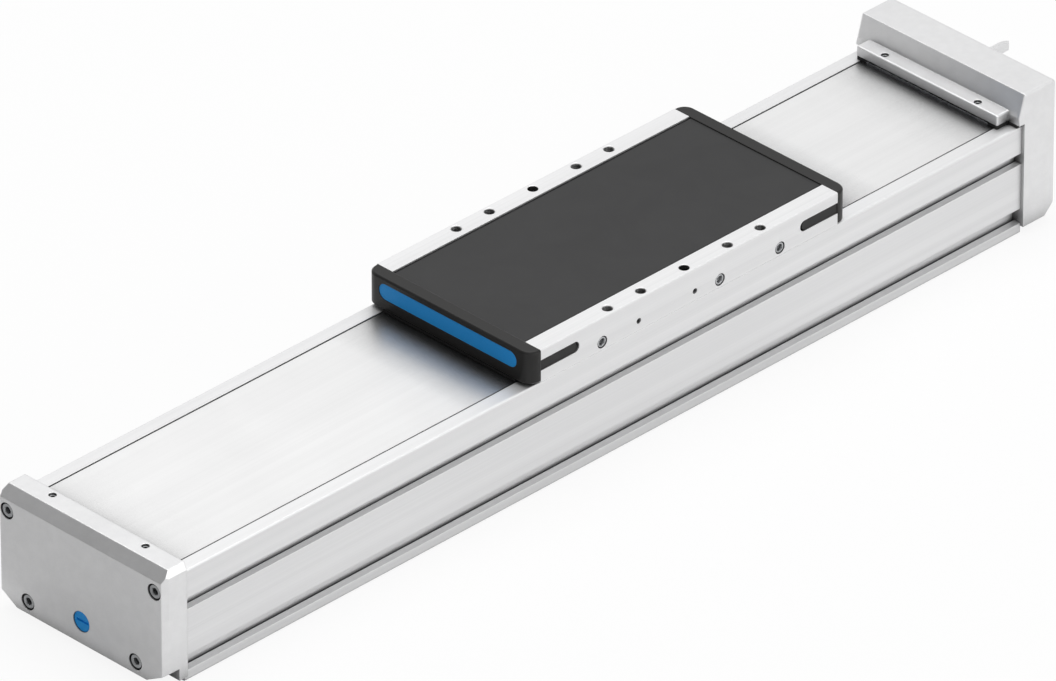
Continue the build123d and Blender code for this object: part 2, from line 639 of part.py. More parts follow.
def make_housing_screws():
    """The four screws that hold the drive housing to the profile."""
    seat = HOUSING_REAR - M5_COUNTERBORE_DEPTH
    screw = socket_screw(M5_SCREW, HOUSING_LENGTH - M5_COUNTERBORE_DEPTH + SCREW_THREAD_LENGTH)
    return [facing(screw, (seat, y, z), (1, 0, 0)) for y, z in end_screw_places()]


def make_strip_end_seal():
    """The dark seal between the profile's top and the drive housing, round the strip's end."""
    z = (PROFILE_HEIGHT, HOUSING_OVERHANG_BOTTOM)
    inner = CLAMP_BAR_HALF_WIDTH + CLAMP_BAR_SIDE_GAP
    back = box((HOUSING_FRONT, DRIVE_FACE), (inner, PROFILE_WIDTH / 2), z)
    arm = box((STEP_FRONT + SEAL_INSET, HOUSING_FRONT), (inner, STEP_HALF_WIDTH - SEAL_INSET), z)
    middle = box((HOUSING_FRONT, DRIVE_FACE), (-inner, inner), (STRIP_LEVEL + STRIP_THICKNESS, z[1]))
    return join(both_sides(back + arm) + [middle])


def make_bearing_cover():
    """The bearing cover with its flange and the coupling collar, which is open over one quarter."""
    start = COVER_SEAT
    end = HOUSING_REAR + COLLAR_LENGTH
    flange_end = start + COVER_FLANGE_THICKNESS
    flange = cylinder_x((start, flange_end), 0, SCREW_HEIGHT, COVER_FLANGE_RADIUS)
    tube = cylinder_x((start, end), 0, SCREW_HEIGHT, COLLAR_OUTER_RADIUS)
    tube = chamfer(tube.edges().sort_by(Axis.X)[-1], COLLAR_EDGE_CHAMFER)
    body = flange + tube
    reach = 2 * COLLAR_OUTER_RADIUS
    window = box(
        (flange_end, end),
        (-reach, COLLAR_WINDOW_OFFSET),
        (SCREW_HEIGHT - COLLAR_WINDOW_OFFSET, SCREW_HEIGHT + reach),
    )
    tools = [cylinder_x((flange_end, end), 0, SCREW_HEIGHT, COLLAR_INNER_RADIUS)]
    tools.append(cylinder_x((start, end), 0, SCREW_HEIGHT, COVER_BORE_RADIUS))
    tools.append(window)
    for y, z in cover_screw_places():
        tools.append(cylinder_x((start, flange_end), y, z, M4_SHANK_RADIUS + FIT_CLEARANCE))
    return cut(body, tools)


def make_cover_screws():
    """The four screws of the bearing cover."""
    seat = COVER_SEAT + COVER_FLANGE_THICKNESS
    screw = socket_screw(M4_SCREW, COVER_FLANGE_THICKNESS + COVER_SCREW_GRIP)
    return [facing(screw, (seat, y, z), (1, 0, 0)) for y, z in cover_screw_places()]


def rail_half_outline(offset):
    """Half the rail's section above the profile's floor, grown by an offset for the carriage's groove."""
    half = RAIL_WIDTH / 2 + offset
    top = RAIL_HEIGHT + offset
    waist = half - RAIL_WAIST_DEPTH
    head = RAIL_HEIGHT * RAIL_HEAD_SHARE
    upper_waist = RAIL_HEIGHT * RAIL_UPPER_WAIST_SHARE
    lower_waist = RAIL_HEIGHT * RAIL_LOWER_WAIST_SHARE
    foot = RAIL_HEIGHT * RAIL_FOOT_SHARE
    return [(half, top), (half, head), (waist, upper_waist), (waist, lower_waist), (half, foot), (half, 0)]


def rail_prism(offset, side, x):
    """A solid with the rail's section on one side of the axis."""
    points = [(y + side * RAIL_Y, z + PROFILE_FLOOR) for y, z in mirrored(rail_half_outline(offset))]
    return prism_x(points, x)


def make_rail(side):
    """One guide rail with its counterbored screw holes."""
    rail = rail_prism(0, side, (IDLE_FACE + RAIL_END_GAP, DRIVE_FACE - RAIL_END_GAP))
    top = PROFILE_FLOOR + RAIL_HEIGHT
    seat = top - M4_HEAD_HEIGHT - RAIL_SCREW_RECESS
    tools = []
    for x in rail_screw_places():
        tools.append(cylinder_z(x, side * RAIL_Y, (PROFILE_FLOOR, top), M4_SHANK_RADIUS + FIT_CLEARANCE))
        tools.append(cylinder_z(x, side * RAIL_Y, (seat, top), M4_COUNTERBORE_RADIUS))
    return cut(rail, tools)


def make_rail_screws():
    """The screws of both guide rails."""
    seat = PROFILE_FLOOR + RAIL_HEIGHT - M4_HEAD_HEIGHT - RAIL_SCREW_RECESS
    screw = socket_screw(M4_SCREW, seat - PROFILE_FLOOR + RAIL_SCREW_GRIP)
    return [Pos(x, side * RAIL_Y, seat) * screw for side in (1, -1) for x in rail_screw_places()]


def carriage_place(end, side):
    """The centre of a carriage: end is -1 towards the idle end, side is 1 towards +Y."""
    return (SLIDE_REST_POSITION + end * CARRIAGE_SPACING / 2, side * RAIL_Y)


def carriage_prism(end, side, x, inset):
    """A block round the rail, between two limits in x from the carriage's centre."""
    centre, y = carriage_place(end, side)
    limits = (centre + x[0], centre + x[1])
    half = CARRIAGE_WIDTH / 2 - inset
    bottom = PROFILE_FLOOR + CARRIAGE_UNDERSIDE_GAP + inset
    block = box(limits, (y - half, y + half), (bottom, CARRIAGE_TOP - inset))
    block = chamfer(block.edges().filter_by(Axis.X), CARRIAGE_CHAMFER)
    return block - rail_prism(CARRIAGE_RAIL_CLEARANCE, side, limits)


def carriage_screw_places(end, side):
    """The screws of one carriage, in X and Y, on its outer half where the carrier is open above."""
    centre, y = carriage_place(end, side)
    half = CARRIAGE_SCREW_SPACING / 2
    return [(centre + step, y + side * CARRIAGE_SCREW_OFFSET) for step in (-half, half)]


def make_carriage(end, side):
    """One recirculating carriage body."""
    half = CARRIAGE_BODY_LENGTH / 2
    body = carriage_prism(end, side, (-half, half), 0)
    hole = (CARRIAGE_TOP - CARRIAGE_SCREW_GRIP, CARRIAGE_TOP)
    radius = M4_SHANK_RADIUS + FIT_CLEARANCE
    return cut(body, [cylinder_z(x, y, hole, radius) for x, y in carriage_screw_places(end, side)])


def make_carriage_end_plates():
    """The end plates of the four carriages."""
    near = CARRIAGE_BODY_LENGTH / 2
    far = near + CARRIAGE_END_PLATE
    plates = []
    for end in (-1, 1):
        for side in (1, -1):
            for limits in ((near, far), (-far, -near)):
                plates.append(carriage_prism(end, side, limits, END_PLATE_INSET))
    return plates


def make_carriage_screws():
    """The screws that hold the carrier to the carriages."""
    screw = socket_screw(M4_SCREW, CARRIER_THICKNESS + CARRIAGE_SCREW_GRIP)
    places = [place for end in (-1, 1) for side in (1, -1) for place in carriage_screw_places(end, side)]
    return [Pos(x, y, CARRIER_DECK) * screw for x, y in places]


def bridge_screw_places():
    """The screws between the slide table and the carrier, in X and Y."""
    xs = [SLIDE_REST_POSITION + step * BRIDGE_SCREW_SPACING_X / 2 for step in (-1, 1)]
    return [(x, step * BRIDGE_SCREW_SPACING_Y / 2) for x in xs for step in (-1, 1)]


def make_carrier():
    """The carrier: flange on the carriages, neck through the profile's opening, boss round the ball nut."""
    ends = (CARRIER_IDLE_END, CARRIER_DRIVE_END)
    flange = box(ends, (-CARRIER_HALF_WIDTH, CARRIER_HALF_WIDTH), (CARRIAGE_TOP, CARRIER_DECK))
    neck_ends = (NECK_IDLE_END, NECK_DRIVE_END)
    neck = box(neck_ends, (-NECK_HALF_WIDTH, NECK_HALF_WIDTH), (CARRIER_DECK, SLIDE_BOTTOM))
    boss = box(
        (CARRIER_IDLE_END, NECK_IDLE_END),
        (-NUT_BOSS_HALF_WIDTH, NUT_BOSS_HALF_WIDTH),
        (CARRIER_DECK, NUT_BOSS_TOP),
    )
    body = flange + neck + boss
    nut_end = CARRIER_IDLE_END + NUT_LENGTH + NUT_WIPER_LENGTH
    tools = [cylinder_x((CARRIER_IDLE_END, nut_end), 0, SCREW_HEIGHT, NUT_RADIUS + FIT_CLEARANCE)]
    tools.append(cylinder_x(ends, 0, SCREW_HEIGHT, SCREW_RADIUS + CARRIER_SCREW_CLEARANCE))
    for y, z in nut_screw_places():
        grip = (CARRIER_IDLE_END, CARRIER_IDLE_END + NUT_SCREW_GRIP)
        tools.append(cylinder_x(grip, y, z, M4_SHANK_RADIUS + FIT_CLEARANCE))
    for end in (-1, 1):
        for side in (1, -1):
            for x, y in carriage_screw_places(end, side):
                tools.append(cylinder_z(x, y, (CARRIAGE_TOP, CARRIER_DECK), M4_SHANK_RADIUS + FIT_CLEARANCE))
    for x, y in bridge_screw_places():
        depth = (SLIDE_BOTTOM - BRIDGE_SCREW_GRIP, SLIDE_BOTTOM)
        tools.append(cylinder_z(x, y, depth, M4_SHANK_RADIUS + FIT_CLEARANCE))
    tools.append(sensor_magnet_box(0))
    return cut(body, tools)


def sensor_magnet_box(inset):
    """The sensor magnet's place in the side of the carrier, made smaller by an inset."""
    x = SLIDE_REST_POSITION
    half = SENSOR_MAGNET_LENGTH / 2 - inset
    middle = (CARRIAGE_TOP + CARRIER_DECK) / 2
    rise = SENSOR_MAGNET_HEIGHT / 2 - inset
    y = (CARRIER_HALF_WIDTH - SENSOR_MAGNET_DEPTH + inset, CARRIER_HALF_WIDTH)
    return box((x - half, x + half), y, (middle - rise, middle + rise))


def nut_screw_places():
    """The screws of the nut's flange, in Y and Z."""
    places = []
    for angle in NUT_SCREW_ANGLES:
        y = NUT_SCREW_CIRCLE * cos(radians(angle))
        places.append((y, SCREW_HEIGHT + NUT_SCREW_CIRCLE * sin(radians(angle))))
    return places


def make_ball_screw():
    """The ball screw: threaded length at full diameter, journals for both bearings and the plain drive shaft."""
    thread = cylinder_x((THREAD_START, THREAD_END), 0, SCREW_HEIGHT, SCREW_RADIUS)
    idle = cylinder_x((FLOATING_BEARING_START, THREAD_START), 0, SCREW_HEIGHT, FLOATING_JOURNAL_RADIUS)
    lock_end = COVER_SEAT + LOCK_NUT_LENGTH
    journal = cylinder_x((THREAD_END, lock_end), 0, SCREW_HEIGHT, JOURNAL_RADIUS)
    shaft = cylinder_x((lock_end, SHAFT_END), 0, SCREW_HEIGHT, SHAFT_RADIUS)
    shaft = chamfer(shaft.edges().sort_by(Axis.X)[-1], SHAFT_CHAMFER)
    return join([thread, idle, journal, shaft])


def ring(x, inner, outer):
    """A ring on the screw axis."""
    return cylinder_x(x, 0, SCREW_HEIGHT, outer) - cylinder_x(x, 0, SCREW_HEIGHT, inner)


def sealed_outer_ring(x, bore, outer):
    """A sealed bearing's outer ring with its two thin shields, on the screw axis."""
    inner_wall = outer - RING_WALL
    shield = bore + RING_WALL + SHIELD_GAP
    body = ring(x, shield, outer)
    return body - ring((x[0] + SHIELD_THICKNESS, x[1] - SHIELD_THICKNESS), shield, inner_wall)


def fixed_bearing_limits():
    """The two fixed bearings, side by side in the drive housing."""
    middle = FIXED_BEARINGS_START + FIXED_BEARING_WIDTH
    return [(FIXED_BEARINGS_START, middle), (middle, COVER_SEAT)]


def make_fixed_outer_rings():
    """The outer rings of the fixed bearing pair."""
    return [sealed_outer_ring(x, JOURNAL_RADIUS, FIXED_BEARING_RADIUS) for x in fixed_bearing_limits()]


def make_fixed_inner_rings():
    """The inner rings of the fixed bearing pair."""
    return [ring(x, JOURNAL_RADIUS, JOURNAL_RADIUS + RING_WALL) for x in fixed_bearing_limits()]


def make_lock_nut():
    """The slotted lock nut that clamps the inner rings."""
    x = (COVER_SEAT, COVER_SEAT + LOCK_NUT_LENGTH)
    body = ring(x, JOURNAL_RADIUS, LOCK_NUT_RADIUS)
    slot = box(
        x,
        (-LOCK_NUT_SLOT / 2, LOCK_NUT_SLOT / 2),
        (SCREW_HEIGHT + LOCK_NUT_RADIUS - LOCK_NUT_SLOT_DEPTH, SCREW_HEIGHT + LOCK_NUT_RADIUS),
    )
    step = 360 / LOCK_NUT_SLOT_COUNT
    turns = [Rotation(step * index, 0, 0) for index in range(LOCK_NUT_SLOT_COUNT)]
    centre = Pos(0, 0, SCREW_HEIGHT)
    return cut(body, [centre * turn * centre.inverse() * slot for turn in turns])


def make_ball_nut():
    """The ball nut: flange with two flats, body, bore and the seats of its wipers."""
    start = CARRIER_IDLE_END - NUT_FLANGE_THICKNESS
    end = CARRIER_IDLE_END + NUT_LENGTH
    flange = cylinder_x((start, CARRIER_IDLE_END), 0, SCREW_HEIGHT, NUT_FLANGE_RADIUS)
    width = (-NUT_FLANGE_RADIUS, NUT_FLANGE_RADIUS)
    height = (SCREW_HEIGHT - NUT_FLANGE_HALF_HEIGHT, SCREW_HEIGHT + NUT_FLANGE_HALF_HEIGHT)
    flange = flange & box((start, CARRIER_IDLE_END), width, height)
    body = flange + cylinder_x((start, end), 0, SCREW_HEIGHT, NUT_RADIUS)
    bore = SCREW_RADIUS + NUT_BORE_CLEARANCE
    tools = [cylinder_x((start, end), 0, SCREW_HEIGHT, bore)]
    for x in ((start, start + NUT_WIPER_LENGTH), (end - NUT_WIPER_LENGTH, end)):
        tools.append(cylinder_x(x, 0, SCREW_HEIGHT, NUT_WIPER_RADIUS))
    for y, z in nut_screw_places():
        tools.append(cylinder_x((start, CARRIER_IDLE_END), y, z, M4_SHANK_RADIUS + FIT_CLEARANCE))
    return cut(body, tools)


def make_nut_wipers():
    """The two wiper rings in the ends of the ball nut."""
    start = CARRIER_IDLE_END - NUT_FLANGE_THICKNESS
    end = CARRIER_IDLE_END + NUT_LENGTH
    limits = ((start, start + NUT_WIPER_LENGTH), (end - NUT_WIPER_LENGTH, end))
    return [ring(x, SCREW_RADIUS + NUT_WIPER_GAP, NUT_WIPER_RADIUS - FIT_CLEARANCE) for x in limits]


def make_nut_screws():
    """The screws that hold the nut's flange to the carrier."""
    seat = CARRIER_IDLE_END - NUT_FLANGE_THICKNESS
    screw = socket_screw(M4_SCREW, NUT_FLANGE_THICKNESS + NUT_SCREW_GRIP)
    return [facing(screw, (seat, y, z), (-1, 0, 0)) for y, z in nut_screw_places()]


def make_buffers(end):
    """The pair of rubber buffers at one end, which stop the carrier."""
    if end < 0:
        x = (IDLE_FACE, IDLE_FACE + IDLE_BUFFER_LENGTH)
    else:
        x = (DRIVE_FACE - DRIVE_BUFFER_LENGTH, DRIVE_FACE)
    height = (CARRIAGE_TOP + CARRIER_DECK) / 2
    return both_sides(cylinder_x(x, BUFFER_SPACING / 2, height, BUFFER_RADIUS))


def make_magnet_strips():
    """The two magnet strips under the edges of the cover strip."""
    z = (STRIP_LEVEL - MAGNET_THICKNESS, STRIP_LEVEL)
    return both_sides(box((IDLE_FACE, DRIVE_FACE), magnet_limits(), z))


def ramp_arcs(outer, inner, low, rise):
    """Two tangent arcs in X and Z that rise from the flat at outer to the lifted height at inner."""
    middle = ((outer + inner) / 2, low + rise / 2)
    direction = 1 if inner > outer else -1
    first = TangentArc((outer, low), middle, tangent=(direction, 0))
    second = TangentArc((inner, low + rise), middle, tangent=(-direction, 0))
    return [first, second]


def strip_line(low):
    """The lower or upper line of the cover strip in X and Z, lifted over the slide's bridge."""
    start = IDLE_FACE - STRIP_END_LENGTH
    end = DRIVE_FACE - STRIP_OVERHANG
    idle_ramp = NECK_IDLE_END - STRIP_RAMP_LENGTH
    drive_ramp = NECK_DRIVE_END + STRIP_RAMP_LENGTH
    lines = [Line((start, low), (idle_ramp, low))]
    lines += ramp_arcs(idle_ramp, NECK_IDLE_END, low, STRIP_LIFT)
    lines.append(Line((NECK_IDLE_END, low + STRIP_LIFT), (NECK_DRIVE_END, low + STRIP_LIFT)))
    lines += ramp_arcs(drive_ramp, NECK_DRIVE_END, low, STRIP_LIFT)
    lines.append(Line((drive_ramp, low), (end, low)))
    return lines


def make_cover_strip():
    """The steel cover strip, flush with the profile and lifted inside the slide."""
    start = IDLE_FACE - STRIP_END_LENGTH
    end = DRIVE_FACE - STRIP_OVERHANG
    low = STRIP_LEVEL
    high = STRIP_LEVEL + STRIP_THICKNESS
    ends = [Line((start, low), (start, high)), Line((end, low), (end, high))]
    face = make_face(strip_line(low) + strip_line(high) + ends)
    half = STRIP_WIDTH / 2
    return extrude(Plane.XZ.offset(-half) * face, amount=STRIP_WIDTH)


def make_strip_guide(end):
    """The sliding guide under one ramp of the strip, fixed to the neck of the carrier."""
    inner = NECK_IDLE_END if end < 0 else NECK_DRIVE_END
    outer = inner + end * STRIP_RAMP_LENGTH
    low = STRIP_LEVEL - GUIDE_GAP
    bottom = NUT_BOSS_TOP + GUIDE_BOTTOM_GAP
    sides = [
        Line((outer, low), (outer, bottom)),
        Line((outer, bottom), (inner, bottom)),
        Line((inner, bottom), (inner, low + STRIP_LIFT)),
    ]
    face = make_face(ramp_arcs(outer, inner, low, STRIP_LIFT) + sides)
    return extrude(Plane.XZ.offset(-GUIDE_HALF_WIDTH) * face, amount=2 * GUIDE_HALF_WIDTH)


def tab_prism(end, y, length, grow):
    """A side tab or its slot: a bar with a round inner end, between two limits in y."""
    face_x = SLIDE_IDLE_END if end < 0 else SLIDE_DRIVE_END
    radius = TAB_HEIGHT / 2 + grow
    round_x = face_x - end * (length - TAB_HEIGHT / 2)
    bar = box(tuple(sorted((face_x, round_x))), y, (TAB_CENTRE_HEIGHT - radius, TAB_CENTRE_HEIGHT + radius))
    return bar + cylinder_y(round_x, y, TAB_CENTRE_HEIGHT, radius)


def make_slide_table():
    """The slide table: low bridge on the carrier, two side walls with ledges, holes, slots and shelves."""
    ends = (SLIDE_IDLE_END, SLIDE_DRIVE_END)
    half = SLIDE_HALF_WIDTH
    wall = box(ends, (LEDGE_INNER, half), (SLIDE_BOTTOM, SLIDE_TOP))
    wall = chamfer(wall.edges().filter_by(Axis.X).sort_by(Axis.Y)[-2:], SLIDE_EDGE_CHAMFER)
    shelf = box(
        ends,
        (LEDGE_INNER - SHELF_WIDTH, LEDGE_INNER),
        (COVER_PLATE_BOTTOM - SHELF_THICKNESS, COVER_PLATE_BOTTOM),
    )
    bridge = box((NECK_IDLE_END, NECK_DRIVE_END), (-LEDGE_INNER, LEDGE_INNER), (SLIDE_BOTTOM, BRIDGE_TOP))
    body = join(both_sides(wall + shelf) + [bridge])
    tools = []
    slot_y = (half - TAB_RECESS - TAB_THICKNESS - FIT_CLEARANCE, half)
    for end in (-1, 1):
        tools += both_sides(tab_prism(end, slot_y, TAB_LENGTH, FIT_CLEARANCE))
    for offset in SLIDE_HOLE_OFFSETS:
        for x in (SLIDE_REST_POSITION - offset, SLIDE_REST_POSITION + offset):
            depth = (SLIDE_TOP - SLIDE_HOLE_DEPTH, SLIDE_TOP)
            hole = cylinder_z(x, SLIDE_HOLE_HALF_SPACING_Y, depth, SLIDE_HOLE_RADIUS)
            rim = countersink_z(x, SLIDE_HOLE_HALF_SPACING_Y, SLIDE_TOP, SLIDE_HOLE_RADIUS, SLIDE_HOLE_RIM)
            tools += both_sides(hole) + both_sides(rim)
    pin_depth = (SLIDE_TOP - SLIDE_PIN_DEPTH, SLIDE_TOP)
    pin_place = (SLIDE_REST_POSITION, SLIDE_HOLE_HALF_SPACING_Y)
    tools += both_sides(cylinder_z(*pin_place, pin_depth, SLIDE_PIN_RADIUS))
    tools += both_sides(countersink_z(*pin_place, SLIDE_TOP, SLIDE_PIN_RADIUS, SLIDE_PIN_RIM))
    for offset in NIPPLE_OFFSETS:
        x = SLIDE_REST_POSITION + offset
        tools += both_sides(cylinder_y(x, (half - NIPPLE_DEPTH, half), NIPPLE_HEIGHT, NIPPLE_RADIUS))
    for offset in SIDE_BORE_OFFSETS:
        x = SLIDE_REST_POSITION + offset
        tools += both_sides(cylinder_y(x, (half - SIDE_BORE_DEPTH, half), SIDE_BORE_HEIGHT, SIDE_BORE_RADIUS))
    for x, y in bridge_screw_places():
        seat = BRIDGE_TOP - BRIDGE_SCREW_RECESS - M4_HEAD_HEIGHT
        tools.append(cylinder_z(x, y, (SLIDE_BOTTOM, BRIDGE_TOP), M4_SHANK_RADIUS + FIT_CLEARANCE))
        tools.append(cylinder_z(x, y, (seat, BRIDGE_TOP), M4_COUNTERBORE_RADIUS))
    return cut(body, tools)


def make_bridge_screws():
    """The screws that hold the slide table to the carrier."""
    seat = BRIDGE_TOP - BRIDGE_SCREW_RECESS - M4_HEAD_HEIGHT
    screw = socket_screw(M4_SCREW, seat - SLIDE_BOTTOM + BRIDGE_SCREW_GRIP)
    return [Pos(x, y, seat) * screw for x, y in bridge_screw_places()]


def make_cover_plate():
    """The dark plate that closes the slide over the strip."""
    half = LEDGE_INNER - COVER_PLATE_GAP
    return box((SLIDE_IDLE_END, SLIDE_DRIVE_END), (-half, half), (COVER_PLATE_BOTTOM, COVER_PLATE_TOP))


def inlay_prism(x, grow):
    """The long rounded inlay in an end cap, between two limits in x."""
    radius = INLAY_HEIGHT / 2 + grow
    straight = INLAY_HALF_WIDTH - INLAY_HEIGHT / 2
    bar = box(x, (-straight, straight), (INLAY_CENTRE_HEIGHT - radius, INLAY_CENTRE_HEIGHT + radius))
    rounds = both_sides(cylinder_x(x, straight, INLAY_CENTRE_HEIGHT, radius))
    return join([bar] + rounds)


def end_cap_limits(end):
    """The inner and outer face of a slide end cap, in x."""
    inner = SLIDE_IDLE_END if end < 0 else SLIDE_DRIVE_END
    return (inner, inner + end * END_CAP_LENGTH)


def make_slide_end_cap(end):
    """One dark end cap of the slide, with its side tabs and the seat of the inlay."""
    inner, outer = end_cap_limits(end)
    half = SLIDE_HALF_WIDTH
    body = box(tuple(sorted((inner, outer))), (-half, half), (END_CAP_BOTTOM, SLIDE_TOP))
    outer_face = body.faces().sort_by(Axis.X)[0 if end < 0 else -1]
    body = fillet(outer_face.edges().filter_by(Axis.Z), END_CAP_CORNER_RADIUS)
    outer_face = body.faces().sort_by(Axis.X)[0 if end < 0 else -1]
    body = chamfer(outer_face.edges().filter_by(Axis.Y), END_CAP_EDGE_CHAMFER)
    seat = tuple(sorted((outer, outer - end * INLAY_DEPTH)))
    body = body - inlay_prism(seat, FIT_CLEARANCE)
    y = (half - TAB_RECESS - TAB_THICKNESS, half - TAB_RECESS)
    return join([body] + both_sides(tab_prism(end, y, TAB_LENGTH - TAB_END_GAP, 0)))


def make_inlay(end):
    """The blue inlay of one end cap."""
    outer = end_cap_limits(end)[1]
    return inlay_prism(tuple(sorted((outer - end * INLAY_RECESS, outer - end * INLAY_DEPTH))), 0)


def make_wiper(end):
    """The wiper under one end cap, just above the strip."""
    outer = end_cap_limits(end)[1]
    x = tuple(sorted((outer - end * WIPER_SETBACK, outer - end * (WIPER_SETBACK + WIPER_LENGTH))))
    half = STRIP_WIDTH / 2
    return box(x, (-half, half), (STRIP_LEVEL + STRIP_THICKNESS + WIPER_GAP, END_CAP_BOTTOM))


def make_grease_nipples():
    """The flush grease nipples in both sides of the slide table."""
    nipples = []
    for offset in NIPPLE_OFFSETS:
        x = SLIDE_REST_POSITION + offset
        outer = SLIDE_HALF_WIDTH - NIPPLE_RECESS
        y = (SLIDE_HALF_WIDTH - NIPPLE_DEPTH, outer)
        body = cylinder_y(x, y, NIPPLE_HEIGHT, NIPPLE_RADIUS - FIT_CLEARANCE)
        bore = cylinder_y(x, (outer - NIPPLE_BORE_DEPTH, outer), NIPPLE_HEIGHT, NIPPLE_BORE_RADIUS)
        nipples += both_sides(body - bore)
    return nipples


def make_spacer():
    """The spacer between the screw's shoulder and the first fixed bearing."""
    return ring((THREAD_END, FIXED_BEARINGS_START), JOURNAL_RADIUS, JOURNAL_RADIUS + RING_WALL)


def make_floating_outer_ring():
    """The outer ring of the floating bearing in the idle cap."""
    x = (FLOATING_BEARING_START, IDLE_FACE)
    return sealed_outer_ring(x, FLOATING_JOURNAL_RADIUS, FLOATING_BEARING_RADIUS)


def make_floating_inner_ring():
    """The inner ring of the floating bearing."""
    x = (FLOATING_BEARING_START, IDLE_FACE)
    return ring(x, FLOATING_JOURNAL_RADIUS, FLOATING_JOURNAL_RADIUS + RING_WALL)


os.makedirs("parts", exist_ok=True)

save("profile", make_profile())
save("idle_end_cap", make_idle_cap())
save("sealing_plug", make_sealing_plug())
save("idle_cap_screws", *make_idle_cap_screws())
save("strip_clamp_bar_idle", make_idle_clamp_bar())
save("strip_set_screws_idle", *make_idle_set_screws())
save("drive_housing", make_drive_housing())
save("drive_housing_screws", *make_housing_screws())
save("strip_clamp_bar_drive", make_drive_clamp_bar())
save("strip_set_screws_drive", *make_drive_set_screws())
save("strip_end_seal", make_strip_end_seal())
save("bearing_cover", make_bearing_cover())
save("bearing_cover_screws", *make_cover_screws())
save("guide_rail_left", make_rail(1))
save("guide_rail_right", make_rail(-1))
save("guide_rail_screws", *make_rail_screws())
save("magnet_strips", *make_magnet_strips())
save("cover_strip", make_cover_strip())
save("buffers_idle_end", *make_buffers(-1))
save("buffers_drive_end", *make_buffers(1))
save("fixed_bearing_outer_rings", *make_fixed_outer_rings())
save("floating_bearing_outer_ring", make_floating_outer_ring())

save("ball_screw", make_ball_screw())
save("fixed_bearing_inner_rings", *make_fixed_inner_rings())
save("floating_bearing_inner_ring", make_floating_inner_ring())
save("bearing_spacer", make_spacer())
save("lock_nut", make_lock_nut())

save("slide_table", make_slide_table())
save("slide_cover_plate", make_cover_plate())
save("slide_table_screws", *make_bridge_screws())
save("grease_nipples", *make_grease_nipples())
save("carrier", make_carrier())
save("sensor_magnet", sensor_magnet_box(FIT_CLEARANCE))
save("carriage_end_plates", *make_carriage_end_plates())
save("carriage_screws", *make_carriage_screws())
save("ball_nut", make_ball_nut())
save("nut_wipers", *make_nut_wipers())
save("nut_screws", *make_nut_screws())
for end, end_name in ((-1, "front"), (1, "rear")):
    save(f"slide_end_cap_{end_name}", make_slide_end_cap(end))
    save(f"end_cap_inlay_{end_name}", make_inlay(end))
    save(f"strip_wiper_{end_name}", make_wiper(end))
    save(f"strip_guide_{end_name}", make_strip_guide(end))
    for side, side_name in ((1, "left"), (-1, "right")):
        save(f"carriage_{end_name}_{side_name}", make_carriage(end, side))
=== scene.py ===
import json
from math import cos, pi, radians, sin, sqrt

import bpy
import numpy as np
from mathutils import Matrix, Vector


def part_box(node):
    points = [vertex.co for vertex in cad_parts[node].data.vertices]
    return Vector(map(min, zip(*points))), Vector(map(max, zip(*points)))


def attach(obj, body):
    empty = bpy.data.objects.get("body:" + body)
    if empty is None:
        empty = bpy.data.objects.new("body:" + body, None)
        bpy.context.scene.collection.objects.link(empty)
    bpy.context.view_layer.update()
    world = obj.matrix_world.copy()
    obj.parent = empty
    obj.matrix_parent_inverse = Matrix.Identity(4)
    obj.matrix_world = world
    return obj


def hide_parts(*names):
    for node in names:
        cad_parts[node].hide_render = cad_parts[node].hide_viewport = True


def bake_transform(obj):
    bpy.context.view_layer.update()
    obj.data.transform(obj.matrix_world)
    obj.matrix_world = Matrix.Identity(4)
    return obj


# Looks of the ball screw linear axis. Metres, in the frame of the CAD model.
# X runs along the travel towards the drive end, Y across, Z up from the mounting face.

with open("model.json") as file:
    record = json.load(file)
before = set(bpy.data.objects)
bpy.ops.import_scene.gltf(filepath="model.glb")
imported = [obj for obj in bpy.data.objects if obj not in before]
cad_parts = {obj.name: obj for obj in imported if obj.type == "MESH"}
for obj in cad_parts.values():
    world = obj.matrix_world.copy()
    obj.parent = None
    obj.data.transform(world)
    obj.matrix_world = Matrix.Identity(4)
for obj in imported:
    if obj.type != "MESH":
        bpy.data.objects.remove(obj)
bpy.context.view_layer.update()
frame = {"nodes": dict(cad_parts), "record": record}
nodes = frame["nodes"]

# Camera, solved from the parallel edges in the photo
CAMERA_PLACE = (-5.417065, -5.413697, 4.826182)
CAMERA_TURN = (radians(58.02), 0.0, radians(-45.0))
CAMERA_LENS = 571.7
SENSOR_WIDTH = 36.0
CAMERA_FAR = 30.0

# Light: each lamp's place, the point that it faces, its size and its power
LAMPS = {
    "top": ((0.3, 0.4, 2.2), (0.0, 0.0, 0.0), (1.6, 1.6), 29.0),
    "side": ((0.5, -2.2, 0.9), (0.0, 0.0, 0.05), (1.8, 1.0), 14.0),
}
WORLD_STRENGTH = 0.42
WHITE = (1.0, 1.0, 1.0, 1.0)

# Floor, and the two cards that the front faces of the metal mirror
FLOOR_SIZE = 6.0
FLOOR_DROP = 0.0005
FLOOR_GREY = 0.9
FLOOR_ROUGHNESS = 0.9
FLOOR_GLOW = 0.9
CARD_LIFT = 0.001
NEAR_CARD_GREY = 0.6
NEAR_CARD_CORNERS = ((-0.95, -0.35), (-0.352, -0.35), (-0.352, 0.75), (-0.95, 0.75))
FAR_CARD_GREY = 0.1
FAR_CARD_LINE = ((-1.5, -0.8), (-1.5, 2.6))
FAR_CARD_HEIGHT = 2.2

